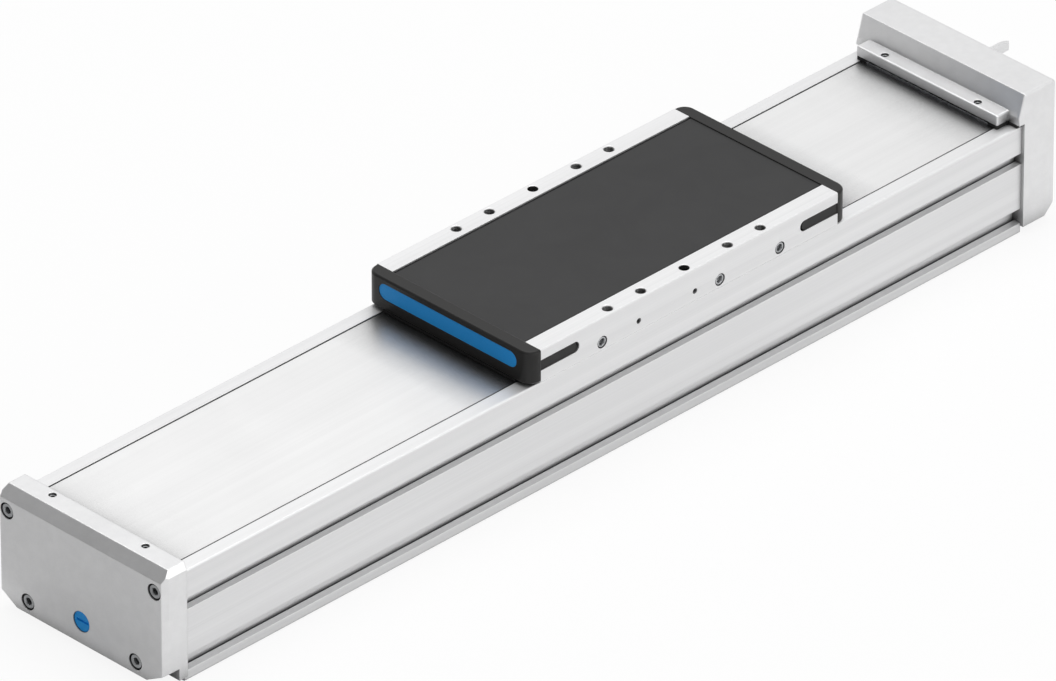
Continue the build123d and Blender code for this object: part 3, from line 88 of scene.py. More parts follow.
# Socket screws: (head radius, head height, width across flats of the hexagon)
M5_HEAD = (0.00425, 0.005, 0.004)
M4_HEAD = (0.0035, 0.004, 0.003)
SET_SCREW_RADIUS = 0.0022
SET_SCREW_HEX = 0.002
HEAD_CHAMFER = 0.0004
KNURL_DEPTH = 0.00007
KNURL_RIDGES = 40
HEX_DEPTH_SHARE = 0.55
LEAD_IN_SHARE = 1.2
LEAD_IN_SLOPE = 0.8
SOCKET_FLOOR_SHARE = 0.3
SOCKET_CONE_START = 0.25
SOCKET_CONE_END = 0.3

# Ball screw and nut
SCREW_LEAD = 0.020
SCREW_RADIUS = 0.010
SCREW_HEIGHT = 0.045
SCREW_STEPS = 48
SCREW_ROWS_PER_TURN = 40
RACEWAY_DEPTH = 0.0012
RACEWAY_HALF_ANGLE = 34.0
THREAD_SETBACK = 0.003
JOURNAL_RADIUS = 0.0075
SHAFT_RADIUS = 0.006
SHAFT_CHAMFER = 0.0006
BALL_RADIUS = 0.0014
BALL_POLE_RADIUS = 1e-6
BALL_COUNT = 16
BALL_RINGS = 11
BALL_STEPS = 20

# Cover plate of the slide: a little narrower and lower than its seat, for the gap beside it
PLATE_SIDE_GAP = 0.0007
PLATE_DROP = 0.0003
PLATE_EASE = 0.0003

# Screw holes, pin bores and side bores of the slide, with thin sleeves for their walls
SLEEVE_WALL = 0.00012
SLEEVE_GAP = 0.00002
SLEEVE_ROWS = 110
SLEEVE_STEPS = 48
THREAD_DEPTH = 0.0004
THREAD_PITCH = 0.001
HOLE_RADIUS = 0.003
HOLE_DEPTH = 0.014
HOLE_RIM = 0.0004
HOLE_HALF_SPACING_Y = 0.0574
HOLE_OFFSETS = (0.0332, 0.0584)
PIN_DEPTH = 0.008
PIN_WALL_SETBACK = 0.0003
SIDE_BORE_RADIUS = 0.0017
SIDE_BORE_DEPTH = 0.005
SIDE_BORE_PITCH = 0.0007
SIDE_BORE_HEIGHT = 0.0761
SIDE_BORE_OFFSETS = (-0.0394, 0.0035)

# Grease nipple from its rim inwards: (share of the radius, depth below the end)
NIPPLE_RINGS = (
    (1.00, 0.0010),
    (0.84, 0.0010),
    (0.82, 0.0001),
    (0.78, 0.0),
    (0.62, 0.0),
    (0.56, 0.0004),
    (0.48, 0.0018),
    (0.24, 0.0018),
    (0.20, 0.0030),
)

# Cover strip
STRIP_THICKNESS = 0.0003
STRIP_EDGE = 0.00012
RAMP_STEPS = 24

# Sealing plug
PLUG_CHAMFER = 0.0004
PLUG_CORE_RADIUS = 0.0001
PLUG_DISH = 0.00025
PLUG_SLOT_HALF_WIDTH = 0.0007
PLUG_SLOT_HALF_LENGTH = 0.0045
PLUG_SLOT_DEPTH = 0.0012
PLUG_SLOT_EASE = 0.00015
PLUG_STEPS = 128
PLUG_RINGS = 26

MICRONS = 1e6
ROUND_STEPS = 96
SMOOTH_ANGLE = radians(35)
SIDES = ((1, "left"), (-1, "right"))

# What the materials share
SHADER_SAMPLES = 6
EDGE_STARTS_AT = 0.995
EDGE_FULL_AT = 0.8
GRAIN_DISTANCE = 0.0001
LINES_RANGE = (0.75, 1.25)
MARKS_RANGE = (0.35, 0.7)
METAL_MARKS_SIZE = 14.0
METAL_MARKS_ROUGHNESS = (-0.01, 0.02)
PLASTIC_MARKS_SIZE = 30.0
PLASTIC_MARKS_ROUGHNESS = (-0.03, 0.05)
# Painted highlight on the edges of plastics: a gain and a lift of their light colour
HIGHLIGHT_GAIN = 1.5
HIGHLIGHT_LIFT = 0.01
# The grey of the painted shade in gaps, holes and inner corners
PAINTED_SHADE_GREY = (0.06, 0.06, 0.062)

# Grain, as a stretch along each axis, and drawn lines, as (along, across)
ALONG_X = (8.0, 2600.0, 2600.0)
BLASTED = (2400.0, 2400.0, 2400.0)
DRAWN_LINES = (2.0, 900.0)
ROLLED_LINES = (2.0, 1500.0)
FINE_ROUND = (1200.0, 1200.0)

# Places of the two colours and of the result among the sockets of a colour mix
MIX_FIRST = 6
MIX_SECOND = 7
MIX_RESULT = 2


def add(tree, kind, inputs=None, **settings):
    """A shader node with its settings, its inputs set to values or linked to sockets."""
    made = tree.nodes.new(kind)
    for name, value in settings.items():
        setattr(made, name, value)
    for name, value in (inputs or {}).items():
        if isinstance(value, bpy.types.NodeSocket):
            tree.links.new(value, made.inputs[name])
        else:
            made.inputs[name].default_value = value
    return made


def use(tree, group, inputs):
    """One use of a shared node group."""
    return add(tree, "ShaderNodeGroup", inputs, node_tree=group)


def combine(tree, operation, first, second):
    """Two values put together by a sum, a product or the larger of both."""
    return add(tree, "ShaderNodeMath", {0: first, 1: second}, operation=operation).outputs[0]


def share_between(tree, value, start, end):
    """How far a value has come from start to end, from 0 to 1."""
    inputs = {"Value": value, "From Min": start, "From Max": end}
    return add(tree, "ShaderNodeMapRange", inputs).outputs[0]


def mix_value(tree, factor, low, high):
    """A value between two, by a factor."""
    inputs = {"Value": factor, "To Min": low, "To Max": high}
    return add(tree, "ShaderNodeMapRange", inputs).outputs[0]


def mix_colour(tree, factor, first, second):
    """A colour between two, by a factor."""
    inputs = {"Factor": factor}
    for index, value in ((MIX_FIRST, first), (MIX_SECOND, second)):
        inputs[index] = value if isinstance(value, bpy.types.NodeSocket) else (*value, 1.0)
    return add(tree, "ShaderNodeMix", inputs, data_type="RGBA").outputs[MIX_RESULT]


def new_group(name, inputs, outputs):
    """An empty shader node group with named sockets, given as name: type."""
    group = bpy.data.node_groups.new(name, "ShaderNodeTree")
    for direction, sockets in (("INPUT", inputs), ("OUTPUT", outputs)):
        for socket_name, kind in sockets.items():
            kind = "NodeSocket" + kind
            group.interface.new_socket(socket_name, in_out=direction, socket_type=kind)
    return group, group.nodes.new("NodeGroupInput"), group.nodes.new("NodeGroupOutput")


def place_on_object(tree, stretch):
    """Object coordinates, stretched along each axis."""
    place = add(tree, "ShaderNodeTexCoord").outputs["Object"]
    inputs = {0: place, 1: stretch}
    return add(tree, "ShaderNodeVectorMath", inputs, operation="MULTIPLY").outputs[0]


def make_edge_group():
    """Rounds sharp edges for the light and says where they are, for a painted highlight there,
    as machined edges catch the light.
    """
    outputs = {"Normal": "Vector", "Edge": "Float"}
    group, given, result = new_group("Soft edges", {"Radius": "Float"}, outputs)
    inputs = {"Radius": given.outputs["Radius"]}
    bevel = add(group, "ShaderNodeBevel", inputs, samples=SHADER_SAMPLES)
    flat = add(group, "ShaderNodeNewGeometry").outputs["True Normal"]
    inputs = {0: bevel.outputs[0], 1: flat}
    cosine = add(group, "ShaderNodeVectorMath", inputs, operation="DOT_PRODUCT").outputs["Value"]
    edge = share_between(group, cosine, EDGE_STARTS_AT, EDGE_FULL_AT)
    group.links.new(bevel.outputs[0], result.inputs["Normal"])
    group.links.new(edge, result.inputs["Edge"])
    return group


def make_grain_group():
    """Fine grain, stretched into brushed lines or left round for blasted and moulded surfaces."""
    inputs = {"Stretch": "Vector", "Depth": "Float", "Normal": "Vector"}
    outputs = {"Grain": "Float", "Normal": "Vector"}
    group, given, result = new_group("Surface grain", inputs, outputs)
    vector = place_on_object(group, given.outputs["Stretch"])
    inputs = {"Vector": vector, "Scale": 1.0, "Detail": 3.0, "Roughness": 0.6}
    noise = add(group, "ShaderNodeTexNoise", inputs)
    inputs = {
        "Strength": given.outputs["Depth"],
        "Distance": GRAIN_DISTANCE,
        "Height": noise.outputs[0],
        "Normal": given.outputs["Normal"],
    }
    bump = add(group, "ShaderNodeBump", inputs)
    group.links.new(noise.outputs[0], result.inputs["Grain"])
    group.links.new(bump.outputs[0], result.inputs["Normal"])
    return group


def make_drawn_group():
    """The long faint lines that an extrusion die or a rolling mill leaves along X."""
    inputs = {"Spacing": "Float", "Along": "Float"}
    group, given, result = new_group("Drawn lines", inputs, {"Lines": "Float"})
    along, spacing = given.outputs["Along"], given.outputs["Spacing"]
    stretch = add(group, "ShaderNodeCombineXYZ", {"X": along, "Y": spacing, "Z": spacing})
    vector = place_on_object(group, stretch.outputs[0])
    inputs = {"Vector": vector, "Scale": 1.0, "Detail": 4.0, "Roughness": 0.7}
    fine = add(group, "ShaderNodeTexNoise", inputs)
    broad = add(group, "ShaderNodeTexNoise", {"Vector": vector, "Scale": 0.14, "Detail": 1.0})
    both = combine(group, "ADD", fine.outputs[0], broad.outputs[0])
    group.links.new(share_between(group, both, *LINES_RANGE), result.inputs["Lines"])
    return group


def make_handling_group():
    """Faint cloudy marks of handling and oil, in broad patches."""
    group, given, result = new_group("Handling marks", {"Size": "Float"}, {"Marks": "Float"})
    inputs = {
        "Vector": add(group, "ShaderNodeTexCoord").outputs["Object"],
        "Scale": given.outputs["Size"],
        "Detail": 5.0,
        "Roughness": 0.55,
        "Distortion": 0.6,
    }
    cloud = add(group, "ShaderNodeTexNoise", inputs).outputs[0]
    group.links.new(share_between(group, cloud, *MARKS_RANGE), result.inputs["Marks"])
    return group


def make_crevice_shade_group():
    """Painted shade in narrow gaps, holes and inner corners, where they lose light:
    a grey laid on by ambient occlusion.
    """
    inputs = {"Reach": "Float", "Open": "Float", "Shut": "Float"}
    group, given, result = new_group("Crevice shade", inputs, {"Crevice": "Float"})
    inputs = {"Distance": given.outputs["Reach"]}
    occlusion = add(group, "ShaderNodeAmbientOcclusion", inputs, samples=SHADER_SAMPLES)
    limits = given.outputs["Open"], given.outputs["Shut"]
    crevice_shade = share_between(group, occlusion.outputs["AO"], *limits)
    group.links.new(crevice_shade, result.inputs["Crevice"])
    return group


EDGES = make_edge_group()
CREVICE_SHADE = make_crevice_shade_group()
GRAIN = make_grain_group()
DRAWN = make_drawn_group()
HANDLING = make_handling_group()


def new_material(name):
    """A new material with its node tree and its shader."""
    material = bpy.data.materials.new(name)
    material.use_nodes = True
    return material, material.node_tree, material.node_tree.nodes["Principled BSDF"]


def link_surface(tree, shader, colour, roughness, normal):
    """Links a surface's colour, its roughness as a sum of two values, and its normal."""
    tree.links.new(colour, shader.inputs["Base Color"])
    tree.links.new(combine(tree, "ADD", *roughness), shader.inputs["Roughness"])
    tree.links.new(normal, shader.inputs["Normal"])


def metal(name, dark, light, metallic, rough, grain, edge, drawn, crevice_shade):
    """A worked metal: drawn or brushed lines, handling marks, a painted highlight on the edges
    and painted shade in crevices.

    grain is (stretch, depth), edge is (radius, brightness of the painted highlight),
    drawn is (along, across) and crevice is (reach of the painted shade, share of open sky
    where it starts, share where it is full).
    """
    material, tree, shader = new_material(name)
    stretch, depth = grain
    edge_radius, edge_highlight = edge
    edges = use(tree, EDGES, {"Radius": edge_radius})
    normal = edges.outputs["Normal"]
    grains = use(tree, GRAIN, {"Stretch": stretch, "Depth": depth, "Normal": normal})
    lines = use(tree, DRAWN, {"Along": drawn[0], "Spacing": drawn[1]})
    marks = use(tree, HANDLING, {"Size": METAL_MARKS_SIZE})
    # Painted shade: a grey laid on where ambient occlusion finds little open sky
    painted_shade = use(tree, CREVICE_SHADE, dict(zip(("Reach", "Open", "Shut"), crevice_shade)))
    worked = mix_colour(tree, lines.outputs["Lines"], dark, light)
    # Painted highlight: the edges take a lighter colour by a set brightness
    highlight_colour = tuple(min(1.0, value + edge_highlight) for value in light)
    unshaded = mix_colour(tree, edges.outputs["Edge"], worked, highlight_colour)
    colour = mix_colour(tree, painted_shade.outputs["Crevice"], unshaded, PAINTED_SHADE_GREY)
    roughness = (
        mix_value(tree, grains.outputs["Grain"], *rough),
        mix_value(tree, marks.outputs["Marks"], *METAL_MARKS_ROUGHNESS),
    )
    link_surface(tree, shader, colour, roughness, grains.outputs["Normal"])
    shader.inputs["Metallic"].default_value = metallic
    return material


def plastic(name, dark, light, rough, grain, edge_radius, gloss):
    """A moulded or painted plastic or rubber with a fine texture and painted highlights on edges.

    grain is (size, depth), the same along each axis.
    """
    material, tree, shader = new_material(name)
    size, depth = grain
    edges = use(tree, EDGES, {"Radius": edge_radius})
    normal = edges.outputs["Normal"]
    grains = use(tree, GRAIN, {"Stretch": (size, size, size), "Depth": depth, "Normal": normal})
    marks = use(tree, HANDLING, {"Size": PLASTIC_MARKS_SIZE})
    tone = mix_colour(tree, grains.outputs["Grain"], dark, light)
    # Painted highlight: the edges take a lighter colour
    plastic_highlight = tuple(value * HIGHLIGHT_GAIN + HIGHLIGHT_LIFT for value in light)
    colour = mix_colour(tree, edges.outputs["Edge"], tone, plastic_highlight)
    roughness = (
        mix_value(tree, grains.outputs["Grain"], *rough),
        mix_value(tree, marks.outputs["Marks"], *PLASTIC_MARKS_ROUGHNESS),
    )
    link_surface(tree, shader, colour, roughness, grains.outputs["Normal"])
    shader.inputs["Specular IOR Level"].default_value = gloss
    return material


LOOKS = {
    "anodised": metal(
        "anodised_extrusion",
        dark=(0.78, 0.78, 0.785),
        light=(0.84, 0.84, 0.845),
        metallic=0.5,
        rough=(0.36, 0.46),
        grain=(ALONG_X, 0.15),
        edge=(0.0005, 0.12),
        drawn=DRAWN_LINES,
        crevice_shade=(0.004, 0.7, 0.2),
    ),
    "cast": metal(
        "blasted_aluminium",
        dark=(0.79, 0.79, 0.795),
        light=(0.83, 0.83, 0.835),
        metallic=0.75,
        rough=(0.3, 0.38),
        grain=(BLASTED, 0.1),
        edge=(0.0008, 0.12),
        drawn=FINE_ROUND,
        crevice_shade=(0.02, 0.85, 0.2),
    ),
    "strip_steel": metal(
        "strip_steel",
        dark=(0.86, 0.86, 0.86),
        light=(0.895, 0.895, 0.895),
        metallic=0.85,
        rough=(0.3, 0.36),
        grain=(ALONG_X, 0.04),
        edge=(0.00005, 0.0),
        drawn=ROLLED_LINES,
        # Painted shade and painted reflection: with this long reach the strip darkens towards the
        # walls of the caps
        crevice_shade=(0.04, 0.9, 0.7),
    ),
    "bright_steel": metal(
        "ground_steel",
        dark=(0.42, 0.43, 0.45),
        light=(0.62, 0.63, 0.65),
        metallic=1.0,
        rough=(0.2, 0.32),
        grain=(ALONG_X, 0.12),
        edge=(0.0003, 0.12),
        drawn=DRAWN_LINES,
        crevice_shade=(0.002, 0.55, 0.05),
    ),
    "screw_steel": metal(
        "plated_steel",
        dark=(0.36, 0.37, 0.38),
        light=(0.52, 0.53, 0.54),
        metallic=0.9,
        rough=(0.28, 0.4),
        grain=(BLASTED, 0.1),
        edge=(0.0002, 0.3),
        drawn=FINE_ROUND,
        crevice_shade=(0.003, 0.7, 0.4),
    ),
    # Painted shade: the anodised metal made darker for the walls deep in the holes
    "thread_shade": metal(
        "thread_shade",
        dark=(0.05, 0.05, 0.05),
        light=(0.22, 0.22, 0.22),
        metallic=0.8,
        rough=(0.25, 0.35),
        grain=(BLASTED, 0.1),
        edge=(0.00005, 0.3),
        drawn=FINE_ROUND,
        crevice_shade=(0.004, 0.55, 0.3),
    ),
    "black_plastic": plastic(
        "black_plastic",
        dark=(0.009, 0.0088, 0.0085),
        light=(0.016, 0.0155, 0.015),
        rough=(0.3, 0.42),
        grain=(2600.0, 0.1),
        edge_radius=0.0008,
        gloss=0.3,
    ),
    "cover_grey": plastic(
        "cover_grey",
        dark=(0.034, 0.034, 0.0345),
        light=(0.043, 0.043, 0.0435),
        rough=(0.5, 0.6),
        grain=(3000.0, 0.12),
        edge_radius=0.0003,
        gloss=0.2,
    ),
    "blue_plastic": plastic(
        "blue_plastic",
        dark=(0.010, 0.24, 0.62),
        light=(0.014, 0.29, 0.72),
        rough=(0.4, 0.5),
        grain=(2000.0, 0.05),
        edge_radius=0.0003,
        gloss=0.2,
    ),
    "rubber_black": plastic(
        "black_rubber",
        dark=(0.008, 0.008, 0.008),
        light=(0.02, 0.02, 0.02),
        rough=(0.55, 0.7),
        grain=(1800.0, 0.2),
        edge_radius=0.0003,
        gloss=0.3,
    ),
    "magnet": plastic(
        "magnet_strip",
        dark=(0.02, 0.018, 0.018),
        light=(0.045, 0.04, 0.04),
        rough=(0.5, 0.65),
        grain=(1500.0, 0.2),
        edge_radius=0.0002,
        gloss=0.3,
    ),
}


def dress_nodes():
    """Every CAD node takes the material of its slot in the record."""
    for part in frame["record"]["subparts"]:
        if part["node"] in nodes:
            mesh = nodes[part["node"]].data
            mesh.materials.clear()
            mesh.materials.append(LOOKS[part["material_slot"]])


def make_piece(name, vertices, faces, slot_name, body, replaced=()):
    """A new piece from its vertices and faces, with a material slot, on one body.

    The look thread_shade is the anodised metal with painted shade, darker as it lies deep in a
    hole.
    """
    mesh = bpy.data.meshes.new(name)
    mesh.from_pydata([tuple(v) for v in vertices], [], faces)
    mesh.validate()
    mesh.materials.append(LOOKS[slot_name])
    mesh.shade_smooth()
    mesh.set_sharp_from_angle(angle=SMOOTH_ANGLE)
    piece = bpy.data.objects.new(name, mesh)
    bpy.context.scene.collection.objects.link(piece)
    if body:
        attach(piece, body)
    if replaced:
        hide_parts(*replaced)
    return piece


def rows_of_faces(rows, columns, first=0):
    """Quads between neighbouring closed rows of points."""
    faces = []
    for row in range(rows - 1):
        for column in range(columns):
            a = first + row * columns + column
            b = first + row * columns + (column + 1) % columns
            faces.append((a, b, b + columns, a + columns))
    return faces


def end_faces(count, columns):
    """The faces that close the first and the last row of points."""
    return [tuple(reversed(range(columns))), tuple(range(count - columns, count))]


def flipped(faces):
    """Faces that look the other way."""
    return [tuple(reversed(face)) for face in faces]


def circle_angles(steps):
    """The angles of a ring of points."""
    return np.linspace(0, 2 * pi, steps, endpoint=False)


def ring(angle, radius, height):
    """A ring of points about the Z axis."""
    height = np.full_like(angle, height)
    return np.stack([radius * np.cos(angle), radius * np.sin(angle), height], 1)


def turned_to(points, place, direction):
    """Points modelled along +Z, turned to a direction along one axis and put at a place."""
    x, y, z = points[:, 0], points[:, 1], points[:, 2]
    turned = {
        (1, 0, 0): np.stack([z, x, y], 1),
        (-1, 0, 0): np.stack([-z, y, x], 1),
        (0, 0, 1): points,
        (0, 1, 0): np.stack([y, z, x], 1),
        (0, -1, 0): np.stack([x, -z, y], 1),
    }[direction]
    return turned + np.array(place)


def middle_of(low, high):
    """The point halfway between two corners."""
    return tuple((a + b) / 2 for a, b in zip(low, high))


def socket_head(radius, height, hexagon, knurled):
    """The seen part of a socket screw, with its seat at z = 0.

    Each ring of points is r(a) (cos a, sin a). On the knurled rim r(a) = R - d |sin(n a / 2)|,
    and in the hexagon socket of width s across flats
    r(a) = (s / 2) / cos(mod(a, pi / 3) - pi / 6).
    """
    angle = circle_angles(ROUND_STEPS)
    ripple = np.abs(np.sin(KNURL_RIDGES * angle / 2)) * (KNURL_DEPTH if knurled else 0.0)
    six = (hexagon / 2) / np.cos(np.mod(angle, pi / 3) - pi / 6)
    lead_in = hexagon / 2 * LEAD_IN_SHARE
    floor = height - height * HEX_DEPTH_SHARE
    rings = [
        (radius - ripple, 0.0),
        (radius - ripple, height - HEAD_CHAMFER),
        (radius - HEAD_CHAMFER, height),
        (lead_in, height),
        (six, height - (lead_in - hexagon / 2) * LEAD_IN_SLOPE),
        (six, floor),
        (SOCKET_FLOOR_SHARE * six, floor - SOCKET_CONE_START * hexagon),
    ]
    points = [ring(angle, r, z) for r, z in rings]
    tips = np.array([[0, 0, floor - SOCKET_CONE_END * hexagon], [0, 0, 0.0]])
    points = np.concatenate(points + [tips])
    faces = rows_of_faces(len(rings), ROUND_STEPS)
    top, bottom = len(points) - 2, len(points) - 1
    last = (len(rings) - 1) * ROUND_STEPS
    for step in range(ROUND_STEPS):
        following = (step + 1) % ROUND_STEPS
        faces.append((last + step, last + following, top))
        faces.append((following, step, bottom))
    return points, faces


def revolved(profile, steps=ROUND_STEPS):
    """A closed body of revolution about +Z from (radius, height) pairs."""
    angle = circle_angles(steps)
    points = np.concatenate([ring(angle, r, z) for r, z in profile])
    return points, rows_of_faces(len(profile), steps) + end_faces(len(points), steps)


def many(shape, places, direction):
    """One shape repeated at several places."""
    points, faces = shape
    all_points, all_faces = [], []
    for place in places:
        start = len(all_points) * len(points)
        all_points.append(turned_to(points, place, direction))
        all_faces += [tuple(index + start for index in face) for face in faces]
    return np.concatenate(all_points), all_faces


def separate_boxes(node):
    """The boxes of a node's separate solids, found by walking its joined faces."""
    mesh = nodes[node].data
    points = np.array([v.co for v in mesh.vertices], float).reshape(-1, 3)
    microns = np.round(points * MICRONS).astype(np.int64)
    keys = np.unique(microns, axis=0, return_inverse=True)[1].reshape(-1)
    parent = list(range(keys.max() + 1))

    def root(item):
        while parent[item] != item:
            parent[item] = parent[parent[item]]
            item = parent[item]
        return item

    for polygon in mesh.polygons:
        corners = [keys[v] for v in polygon.vertices]
        for corner in corners[1:]:
            parent[root(corner)] = root(corners[0])
    groups = {}
    for index, key in enumerate(keys):
        groups.setdefault(root(key), []).append(points[index])
    return [(np.min(g, axis=0), np.max(g, axis=0)) for g in groups.values()]


def make_screw_heads():
    """Knurled heads where socket screws are seen: idle cap, drive housing and bearing cover."""
    jobs = (
        ("idle_cap_screws", M5_HEAD, -1),
        ("drive_housing_screws", M5_HEAD, 1),
        ("bearing_cover_screws", M4_HEAD, 1),
    )
    for node, head, way in jobs:
        radius, height, hexagon = head
        places = []
        for low, high in separate_boxes(node):
            outer = low[0] if way < 0 else high[0]
            places.append((outer - way * height, *middle_of(low, high)[1:]))
        points, faces = many(socket_head(radius, height, hexagon, True), places, (way, 0, 0))
        make_piece(node + "_heads", points, faces, "screw_steel", "axis_body", [node])


def make_set_screws():
    """Set screws with a cup-shaped top and a small hexagon socket, over the strip's ends."""
    for node in ("strip_set_screws_idle", "strip_set_screws_drive"):
        boxes = separate_boxes(node)
        height = boxes[0][1][2] - boxes[0][0][2]
        shape = socket_head(SET_SCREW_RADIUS, height, SET_SCREW_HEX, False)
        places = [(*middle_of(low, high)[:2], low[2]) for low, high in boxes]
        points, faces = many(shape, places, (0, 0, 1))
        make_piece(node + "_detail", points, faces, "screw_steel", "axis_body", [node])


def make_cover_plate():
    """The plate between the ledges: its section runs along x, its top corners cut at 45 degrees."""
    low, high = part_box("slide_cover_plate")
    half = high.y - PLATE_SIDE_GAP
    top = high.z - PLATE_DROP
    right = [(-half, low.z), (-half, top - PLATE_EASE), (PLATE_EASE - half, top)]
    section = right + [(-y, z) for y, z in reversed(right)]
    points = np.array([(x, y, z) for x in (low.x, high.x) for y, z in section])
    faces = flipped(rows_of_faces(2, len(section)) + end_faces(len(points), len(section)))
    make_piece("slide_cover_plate", points, faces, "cover_grey", "slide", ["slide_cover_plate"])


def make_nipples():
    """Flush grease nipples: a rounded outer ring, a groove and a funnel with a small bore."""
    boxes = separate_boxes("grease_nipples")
    for side, name in SIDES:
        chosen = [b for b in boxes if (b[0][1] + b[1][1]) * side > 0]
        low, high = chosen[0]
        radius = (high[0] - low[0]) / 2
        length = high[1] - low[1]
        profile = [(radius, 0.0)]
        profile += [(radius * share, length - depth) for share, depth in NIPPLE_RINGS]
        places = []
        for low, high in chosen:
            x, _, z = middle_of(low, high)
            places.append((x, low[1] if side > 0 else high[1], z))
        points, faces = many(revolved(profile), places, (0, side, 0))
        replaced = ["grease_nipples"] if side > 0 else []
        make_piece("grease_nipples_" + name, points, faces, "screw_steel", "slide", replaced)


def thread_sleeve(radius, depth, pitch):
    """The wall of a blind hole, as a thin sleeve that ends at z = 0.

    With a thread r(z, a) = R - d |sin(pi z / pitch - a / 2)|, and smooth where pitch is 0.
    """
    height = np.linspace(-depth, 0, SLEEVE_ROWS)
    z, a = np.meshgrid(height, circle_angles(SLEEVE_STEPS), indexing="ij")
    ridge = THREAD_DEPTH * np.abs(np.sin(pi * z / pitch - a / 2)) if pitch else 0.0 * z
    inner = radius - SLEEVE_WALL - ridge
    outer = np.full_like(z, radius - SLEEVE_GAP)
    wall = [np.stack([r * np.cos(a), r * np.sin(a), z], 2).reshape(-1, 3) for r in (inner, outer)]
    count = SLEEVE_ROWS * SLEEVE_STEPS
    faces = flipped(rows_of_faces(SLEEVE_ROWS, SLEEVE_STEPS))
    faces += rows_of_faces(SLEEVE_ROWS, SLEEVE_STEPS, count)
    top = count - SLEEVE_STEPS
    for step in range(SLEEVE_STEPS):
        following = (step + 1) % SLEEVE_STEPS
        rim = top + step, top + following
        faces.append((*rim, rim[1] + count, rim[0] + count))
        faces.append((following, step, step + count, following + count))
    return np.concatenate(wall), faces


def make_hole_walls():
    """Threads in the slide's screw holes and side bores, and the smooth walls of its pin bores."""
    low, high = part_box("slide_table")
    middle = (low.x + high.x) / 2
    threads = [
        (middle + sign * offset, side * HOLE_HALF_SPACING_Y, high.z - HOLE_RIM)
        for offset in HOLE_OFFSETS
        for sign in (-1, 1)
        for side in (-1, 1)
    ]
    pin_top = high.z - PIN_WALL_SETBACK
    pins = [(middle, side * HOLE_HALF_SPACING_Y, pin_top) for side in (-1, 1)]
    thread = thread_sleeve(HOLE_RADIUS, HOLE_DEPTH - HOLE_RIM, THREAD_PITCH)
    pin = thread_sleeve(HOLE_RADIUS, PIN_DEPTH - PIN_WALL_SETBACK, 0.0)
    bore = thread_sleeve(SIDE_BORE_RADIUS, SIDE_BORE_DEPTH - PIN_WALL_SETBACK, SIDE_BORE_PITCH)
    jobs = [
        ("slide_hole_threads", thread, threads, (0, 0, 1)),
        ("slide_pin_walls", pin, pins, (0, 0, 1)),
    ]
    for side, name in SIDES:
        y = side * (high.y - PIN_WALL_SETBACK)
        bores = [(middle + offset, y, SIDE_BORE_HEIGHT) for offset in SIDE_BORE_OFFSETS]
        jobs.append(("slide_bore_threads_" + name, bore, bores, (0, side, 0)))
    for name, shape, places, direction in jobs:
        points, faces = many(shape, places, direction)
        # The walls take thread_shade, the anodised metal darkened as painted shade
        make_piece(name, points, faces, "thread_shade", "slide")


def ramp_height(x, outer, inner, rise):
    """The height of the strip's ramp: two equal tangent arcs between outer (0) and inner (rise)."""
    share = (x - outer) / (inner - outer)
    length = abs(inner - outer)
    arc = (length * length / 4 + rise * rise / 4) / rise
    if share <= 0.5:
        run = share * length
        return arc - sqrt(arc * arc - run * run)
    run = (1 - share) * length
    return rise - (arc - sqrt(arc * arc - run * run))


def make_strip_half(name, anchor, ramp_outer, ramp_inner, middle, low, rise, half_width):
    """One half of the cover strip, from its clamped end up the ramp to the middle of the slide.

    The flat run has no points between the clamp and the ramp. The ramp is z(x) = R - sqrt(R^2 -
    x^2) and its mirror image, with R = (L^2 + h^2) / 4h.
    """
    line = [(anchor, low), (ramp_outer, low)]
    for step in range(1, RAMP_STEPS + 1):
        x = ramp_outer + (ramp_inner - ramp_outer) * step / RAMP_STEPS
        line.append((x, low + ramp_height(x, ramp_outer, ramp_inner, rise)))
    line.append((middle, low + rise))
    eased = half_width - STRIP_EDGE
    rows = []
    for x, z in line:
        top = z + STRIP_THICKNESS
        rows.append(
            [
                (x, -half_width, z),
                (x, half_width, z),
                (x, half_width, top - STRIP_EDGE),
                (x, eased, top),
                (x, -eased, top),
                (x, -half_width, top - STRIP_EDGE),
            ]
        )
    points = np.array(rows, float).reshape(-1, 3)
    columns = len(rows[0])
    faces = rows_of_faces(len(rows), columns) + flipped(end_faces(len(points), columns))
    if middle < anchor:
        faces = flipped(faces)
    piece = make_piece(name, points, faces, "strip_steel", None)
    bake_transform(piece)
    return piece


def reach_along_x(node):
    """The lowest and the highest x of a node."""
    places = [v.co.x for v in nodes[node].data.vertices]
    return min(places), max(places)


def make_cover_strip():
    """The cover strip as two halves, each from its clamped end up its ramp to a lift at the slide.
    """
    low_corner, high_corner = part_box("cover_strip")
    front_outer, front_inner = reach_along_x("strip_guide_front")
    rear_inner, rear_outer = reach_along_x("strip_guide_rear")
    rise = high_corner.z - low_corner.z - STRIP_THICKNESS
    middle = (front_inner + rear_inner) / 2
    shared = (middle, low_corner.z, rise, high_corner.y)
    front = make_strip_half("cover_strip_front", low_corner.x, front_outer, front_inner, *shared)
    make_strip_half("cover_strip_rear", high_corner.x, rear_outer, rear_inner, *shared)
    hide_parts("cover_strip")


